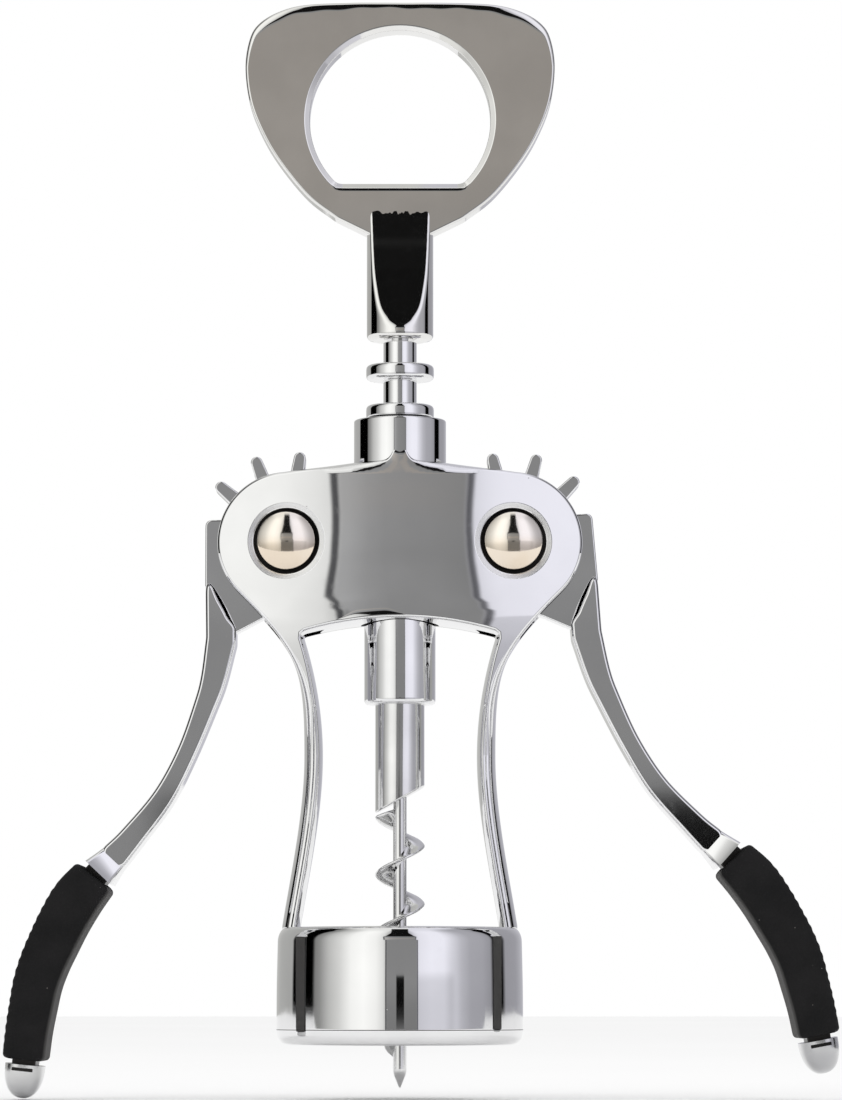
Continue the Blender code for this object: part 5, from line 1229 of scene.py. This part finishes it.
def flight_piece():
    """The thin fin: a rounded wedge section carried down a right-handed helix, (r cos a, r sin a, z0 - p a
    / 360). Its rim radius grows from the core at the top and dies away towards the point."""
    start = SHANK_END - FLIGHT_START_DROP * math.cos(math.radians(START_DEG - 180.0))
    end = WORM_TIP + FLIGHT_END_RISE
    total = 360.0 * (start - end) / FLIGHT_PITCH
    turn = np.linspace(0.0, total, 420)
    angle = np.radians(START_DEG - turn)
    height = start - FLIGHT_PITCH * turn / 360.0
    fade = np.minimum((total - turn) / 230.0, 1.0)
    head = np.minimum((turn + 24.0) / 48.0, 1.0)
    root = AUGER_RADIUS * 0.5
    rim = np.maximum(root + (FLIGHT_RADIUS - root) * np.sin(math.pi / 2 * fade) * head, AUGER_RADIUS * 0.8)
    share = np.array([0.0, 0.25, 0.5, 0.75, 0.93, 1.0, 0.93, 0.75, 0.5, 0.25, 0.0])
    thick = np.array([-0.8, -0.62, -0.48, -0.36, -0.24, 0.0, 0.24, 0.36, 0.48, 0.62, 0.8]) * 0.001
    radius = root + (rim - root)[:, None] * share
    rise = height[:, None] + thick
    points = np.stack([radius * np.cos(angle)[:, None], radius * np.sin(angle)[:, None], rise], -1)
    normals = unit(np.cross(np.gradient(points, axis=1), np.gradient(points, axis=0)))
    numbers = np.arange(points[..., 0].size).reshape(-1, points.shape[1])
    faces = [*strip_quads(numbers)[:, ::-1].tolist(), numbers[0][::-1].tolist(), numbers[-1].tolist()]
    return make_piece("worm_flight", points.reshape(-1, 3), faces, normals.reshape(-1, 3), worm_steel)


flight = flight_piece()
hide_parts("worm")
for piece in (shank, core, flight):
    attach(piece, "stem")


# Opener handle
# The head is a flat chrome plate with a D-shaped hole whose chamfered edge lifts crown caps. It grows out
# of a round neck that is scooped flat in front and behind, and is cast in one with it.

handle_chrome = polished(
    "handle_chrome", rgb(0.84, 0.835, 0.82), rgb(0.78, 0.775, 0.76), 0.035, 0.07, 0.0000016, 0.0, 0.05
)
NECK_RADIUS, NECK_LENGTH, NECK_ABOVE, NECK_AROUND = 0.0055, 0.0174, 0.0044, 288
PLATE_DEPTH, PLATE_HALF_WIDTH, PLATE_HEIGHT = 0.0024, 0.0257, 0.0391
PLATE_BOTTOM = NECK_BOTTOM + NECK_LENGTH
OPENING_RADIUS, OPENING_Z, OPENING_DROP = 0.0150, PLATE_BOTTOM + 0.0194, 0.0107
PLATE_ROUNDING, OPENING_CHAMFER, OPENING_EASE = 0.00045, 0.0008, 0.00014
TOP_ROLL_WIDTH, TOP_ROLL_FALL, SILL_ROLL_WIDTH, SILL_ROLL_FALL = 0.0008, 0.00016, 0.00045, 0.00009
SCOOP_BLEND, NECK_ROUNDING = 0.00016, 0.0009
SCOOP_SHARES = (
    (1.3, 0.03), (1.0, 0.11), (0.88, 0.19), (0.76, 0.30), (0.66, 0.45),
    (0.58, 0.62), (0.53, 0.80), (0.487, 1.0), (0.455, 1.14), (0.42, 1.28),
)


def plate_line():
    """The head's outline, counterclockwise: a smooth curve through stations, closed inside the neck."""
    stations = np.array(
        [
            (0.0, 1.0), (0.31, 1.0), (0.62, 0.99), (0.80, 0.957), (0.92, 0.905), (0.975, 0.838), (1.0, 0.724),
            (0.975, 0.58), (0.905, 0.453), (0.79, 0.32), (0.60, 0.166), (0.41, 0.069),
        ]
    )
    run = through(stations, 8) * (PLATE_HALF_WIDTH, PLATE_HEIGHT) + (0.0, PLATE_BOTTOM)
    throat = np.array([(NECK_RADIUS - 0.00045, PLATE_BOTTOM), (NECK_RADIUS / 2, PLATE_BOTTOM - 0.0009)])
    right = np.concatenate([run[1:], throat])
    return np.concatenate([run[:1], right, mirrored(right)])[::-1]


def opening_line():
    """The D-shaped hole, clockwise: most of a circle and a flat lower side."""
    corner = math.degrees(math.asin(OPENING_DROP / OPENING_RADIUS))
    round_part = arc(OPENING_RADIUS, 180.0 + corner - 1.5, -corner + 1.5, 90, (0.0, OPENING_Z))
    flat_half = math.sqrt(OPENING_RADIUS**2 - OPENING_DROP**2) - 0.0006
    level = OPENING_Z - OPENING_DROP
    flat = np.array([(flat_half, level), (-flat_half, level)])
    return np.concatenate([round_part, flat])


LEAST_FALL = 0.000002


def upward_roll(line, outward, width, fall):
    """Edges that face up fall away a little before the rim, unevenly and most at the corners: width and
    fall times the outward normal's rise."""
    x = line[:, 0]
    share = np.clip(outward[:, 1], 0.0, 1.0) ** 1.2
    wander = 0.75 + (x / 0.022) ** 2 + 0.16 * np.sin(x * 420.0) + 0.12 * np.sin(x * 1130.0)
    return LEAST_ROLL + width * share * wander, LEAST_FALL + fall * share * wander


line, outward = eased(divided(plate_line(), 0.0012), 0.0006)
outer_roll = upward_roll(line, outward, TOP_ROLL_WIDTH, TOP_ROLL_FALL)
outer = edge((line, outward), round_rim(PLATE_ROUNDING), outer_roll)
line, outward = eased(divided(opening_line(), 0.0010), 0.0008)
level = soft_step(outward[:, 1], 0.85, 0.98)
opening_rim = chamfer_rim(OPENING_CHAMFER, OPENING_EASE, np.radians(24.0 + 22.0 * level))
opening_roll = (LEAST_ROLL + SILL_ROLL_WIDTH * level, LEAST_FALL + SILL_ROLL_FALL * level)
opening = edge((line, outward), opening_rim, opening_roll)
head = plate("opener_head", [outer, opening], flat_depth(PLATE_DEPTH), handle_chrome, 0.0014)


def neck_piece():
    """The neck: at each height a circle cut off flat at y = -S and y = S, with S from the scoop's curve.
    The two are joined softly: r = -k log(exp(-R / k) + exp(-S / (k |sin a|)))."""
    smooth = through(SCOOP_SHARES, 12) * (NECK_RADIUS, NECK_LENGTH)
    rise = np.linspace(0.0, NECK_LENGTH + NECK_ABOVE, 160)
    cut = np.interp(rise, smooth[:, 1], smooth[:, 0])[:, None]
    cut[rise < smooth[0, 1]] = 1.3 * NECK_RADIUS
    angle = np.linspace(0.0, 2 * math.pi, NECK_AROUND, endpoint=False)
    flat = cut / np.maximum(np.abs(np.sin(angle)), 0.02)[None]
    least = np.minimum(flat, NECK_RADIUS)
    shares = np.exp(-(NECK_RADIUS - least) / SCOOP_BLEND) + np.exp(-(flat - least) / SCOOP_BLEND)
    foot = np.clip(rise / NECK_ROUNDING, 0.0, 1.0)
    foot_inset = NECK_ROUNDING * (1 - np.sqrt(1 - (1 - foot) ** 2))
    radius = least - SCOOP_BLEND * np.log(shares) - foot_inset[:, None]
    height = np.broadcast_to((NECK_BOTTOM + rise)[:, None], radius.shape)
    points = np.stack([radius * np.cos(angle), radius * np.sin(angle), height], -1)
    round_way = np.roll(points, -1, 1) - np.roll(points, 1, 1)
    normals = unit(np.cross(round_way, np.gradient(points, rise, axis=0)))
    normals[..., 2] *= 1 + 1.0 * soft_step(rise, 0.004, 0.009)[:, None]
    ragged = 0.45 * np.sin(9.0 * angle) + 0.35 * np.sin(17.0 * angle + 2.0) + 0.2 * np.sin(34.0 * angle)
    top = soft_step(rise, NECK_LENGTH - 0.001, NECK_LENGTH + 0.001)[:, None]
    points[..., 1] *= 1 + 0.014 * ragged * top
    numbers = np.arange(radius.size).reshape(-1, NECK_AROUND)[::-1]
    ends = np.array([[0.0, 0.0, NECK_BOTTOM], [0.0, 0.0, NECK_BOTTOM + rise[-1]]])
    low_ring, high_ring = (end + (row - end) * 0.995 for end, row in zip(ends, points[[0, -1]]))
    low_numbers = radius.size + 2 + np.arange(NECK_AROUND)
    high_numbers = low_numbers + NECK_AROUND
    faces = [
        *strip_quads(np.concatenate([high_numbers[None], numbers, low_numbers[None]])).tolist(),
        *fan_to(radius.size + 1, high_numbers).tolist(),
        *fan_to(radius.size, low_numbers, True).tolist(),
    ]
    up, down = np.array([0.0, 0.0, 1.0]), np.array([0.0, 0.0, -1.0])
    spots = np.concatenate([points.reshape(-1, 3), ends, low_ring, high_ring])
    end_normals = [np.tile(way, (NECK_AROUND, 1)) for way in (down, up)]
    normals = np.concatenate([normals.reshape(-1, 3), [down, up], *end_normals])
    return make_piece("opener_neck", spots, faces, normals, handle_chrome)


neck = neck_piece()
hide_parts("opener_handle")
for piece in (head, neck):
    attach(piece, "stem")


# Studio
# A plain pale floor and a white room. In polished metal the room shows a grey front between two soft boxes,
# with narrow dark gaps beside them, as a product studio does.

camera_data = bpy.data.cameras.new("camera")
camera_data.sensor_fit = "VERTICAL"
camera_data.sensor_height = 36.0
camera_data.lens = 158.73
camera_data.clip_start, camera_data.clip_end = 0.01, 50.0
camera = bpy.data.objects.new("camera", camera_data)
camera.location = (0.00347, -0.797, 0.0073)
camera.rotation_euler = (math.radians(95.3), 0.0, 0.0)
bpy.context.scene.collection.objects.link(camera)
bpy.context.scene.camera = camera

floor_finish = Finish(bpy.data.materials.new("floor_paint"))
cloud = floor_finish.noise(floor_finish.place(), 3.0, 2.0)
paint = floor_finish.mix(cloud, rgb(0.90, 0.90, 0.90), rgb(0.93, 0.93, 0.93))
floor_paint = floor_finish.surface(Base_Color=paint, Roughness=0.9, Specular_IOR_Level=0.0)
FLOOR_HALF, FLOOR_FRONT, FLOOR_Z = 4.0, -0.20, cad_size[0][2] - 0.0002
floor_spots = np.array([(-1, -1, 0), (1, -1, 0), (1, 1, 0), (-1, 1, 0)]) * FLOOR_HALF + (0.0, 0.0, FLOOR_Z)
floor_spots[:2, 1] = FLOOR_FRONT
floor = make_piece("floor", floor_spots, [[0, 1, 2, 3]], np.tile([0.0, 0.0, 1.0], (4, 1)), floor_paint)

world = bpy.data.worlds.new("studio")
bpy.context.scene.world = world
room = Finish(world)
way = room.node("ShaderNodeTexCoord").of("Generated")
split = room.node("ShaderNodeSeparateXYZ", {}, {0: way})
dx, dy, dz = split.of("X"), split.of("Y"), split.of("Z")
front = dy * -1.0
DEGREES = 180.0 / math.pi
azimuth = dx.maths("ARCTAN2", dx, front) * DEGREES
pitch = dz.maths("ARCTAN2", dz, front) * DEGREES
rise = dz.maths("ARCSINE", dz) * DEGREES
sideways = dx.maths("ARCSINE", dx) * DEGREES


def band(value, low, high, soft):
    """1 between two limits, with soft ends."""
    return room.ease(value, low - soft, low + soft) * room.ease(value, high + soft, high - soft)


def levels(value, low, high, stops):
    """A grey level read off a ramp of (place, level) stops between two values."""
    share = room.node("ShaderNodeMapRange", {}, {"Value": value, "From Min": low, "From Max": high})
    ramp_stops = [((at - low) / (high - low), rgb(level, level, level)) for at, level in stops]
    return room.node("ShaderNodeValToRGB", {"stops": ramp_stops}, {"Fac": share})


# The soft boxes and the walls behind them, read round the horizon from behind on the left to behind on the
# right
AROUND = [
    (-180, 0.62), (-150, 0.48), (-128, 0.44), (-121, 0.44), (-118, 0.0), (-89, 0.0), (-86, 0.24), (-80, 0.32),
    (-70, 0.58), (-58, 0.78), (-46, 1.08), (-34, 1.16), (-22, 1.05), (-15, 0.84), (-13, 0.62), (13, 0.62),
    (16, 0.86), (19, 0.98), (30, 1.06), (42, 1.04), (50, 0.82), (60, 0.58), (70, 0.46), (84, 0.44),
    (95, 0.36), (98, 0.0), (113, 0.0), (118, 0.38), (140, 0.40), (160, 0.52), (180, 0.62),
]
# The grey studio front seen past the camera, and the dark above it, read upwards
UPWARDS = [
    (-90, 0.60), (-32, 0.50), (-26, 0.20), (-2, 0.19), (2, 0.27), (4.5, 0.26), (6.2, 0.235), (8.4, 0.25),
    (9.6, 0.29), (11.5, 0.28), (14, 0.24), (20, 0.22), (22, 0.05), (24, 0.006), (70, 0.006),
    (80, 0.9), (90, 0.95),
]
# How the walls fade downwards and upwards, how the front narrows upwards, and how grey it is across
WALL_FADE = [(-90, 0.85), (-30, 0.75), (-25, 0.6), (-8, 0.8), (2, 1.0), (50, 1.0), (75, 0.9)]
NARROWING = [(-90, 1.0), (20, 1.0), (26, 0.85), (45, 0.5), (75, 0.35), (90, 0.3)]
ACROSS = [(-16, 0.95), (-12, 0.84), (-8, 0.675), (-4, 0.60), (3, 0.565), (7, 0.555), (14, 0.51), (16, 0.5)]
WHITE, BLACK = rgb(1.0, 1.0, 1.0), rgb(0.004, 0.004, 0.004)
around = levels(azimuth, -180.0, 180.0, AROUND)
upwards = levels(pitch, -90.0, 90.0, UPWARDS)
ceiling = band(rise, 62.0, 95.0, 8.0)
low_right = band(azimuth, 15.0, 52.0, 4.0) * band(rise, -20.0, 2.4, 0.6)
walls = around * levels(rise, -90.0, 90.0, WALL_FADE) * (1.0 - low_right * 0.24)
walls = room.mix(ceiling, walls, rgb(0.9, 0.9, 0.9))
tint = room.mix(room.ease(azimuth, -15.0, 15.0), rgb(1.0, 1.0, 0.975), rgb(0.955, 0.95, 1.03))
walls = room.mix(1.0, walls, tint, "MULTIPLY")
shift = levels(pitch, -10.0, 10.0, [(-10, 0.59), (4.4, 0.59), (5.4, 0.5), (10, 0.5)])
front_side = (sideways - (shift - 0.5) * 20.0) / levels(pitch, -90.0, 90.0, NARROWING)
unlike = 1.0 + (levels(front_side, -16.0, 16.0, ACROSS) * 2.0 - 1.0) * band(pitch, 4.6, 30.0, 0.4)
grey_front = band(front_side, -13.9, 14.5, 0.8) * band(pitch, -120.0, 90.0, 4.0)
edge_left = band(front_side, -15.1, -13.8, 0.4) * band(pitch, -26.0, 24.0, 3.0)
edge_right = band(front_side, 14.3, 15.4, 0.4) * band(pitch, -26.0, 24.0, 3.0)
beside_camera = band(azimuth, -3.0, 4.2, 0.4) * band(rise, -0.30, 2.4, 0.1)
warm = room.mix(band(pitch, 8.8, 12.5, 0.8), WHITE, rgb(1.07, 1.0, 0.93))
view = room.mix(grey_front, walls, room.mix(1.0, upwards * unlike, warm, "MULTIPLY"))
dark_edges = dx.maths("MAXIMUM", edge_left * 0.93, edge_right * 0.85)
view = room.mix(dark_edges, view, rgb(0.04, 0.04, 0.045))
view = room.mix(beside_camera, view, BLACK)

# Mirroring metal sees that room, the camera sees plain white, and plain white light falls on everything
# else
path = room.node("ShaderNodeLightPath")
shiny = dx.maths("MAXIMUM", path.of("Is Glossy Ray"), path.of("Is Transmission Ray"))
plain, mirror_view, backdrop = (
    room.node("ShaderNodeBackground", {}, {"Color": colour, "Strength": 1.0})
    for colour in (WHITE, view, WHITE)
)
lit = room.node("ShaderNodeMixShader", {}, {0: shiny, 1: plain, 2: mirror_view})
lit = room.node("ShaderNodeMixShader", {}, {0: path.of("Is Camera Ray"), 1: lit, 2: backdrop})
room.close(lit, "ShaderNodeOutputWorld")


def soft_box(name, place, aim, size, watts):
    """A large soft lamp that the metal doesn't mirror."""
    lamp = bpy.data.lights.new(name, "AREA")
    lamp.shape = "RECTANGLE"
    lamp.size, lamp.size_y = size
    lamp.energy = watts
    box = bpy.data.objects.new(name, lamp)
    box.location = place
    box.rotation_euler = (Vector(aim) - Vector(place)).to_track_quat("-Z", "Y").to_euler()
    box.visible_glossy = False
    bpy.context.scene.collection.objects.link(box)


soft_box("soft_box_left", (-0.7, -0.6, 0.7), (0.0, 0.0, 0.08), (0.6, 0.6), 1.3)
soft_box("soft_box_right", (0.8, -0.5, 0.6), (0.0, 0.0, 0.08), (0.6, 0.6), 1.0)
bpy.context.scene.view_settings.view_transform = "Standard"
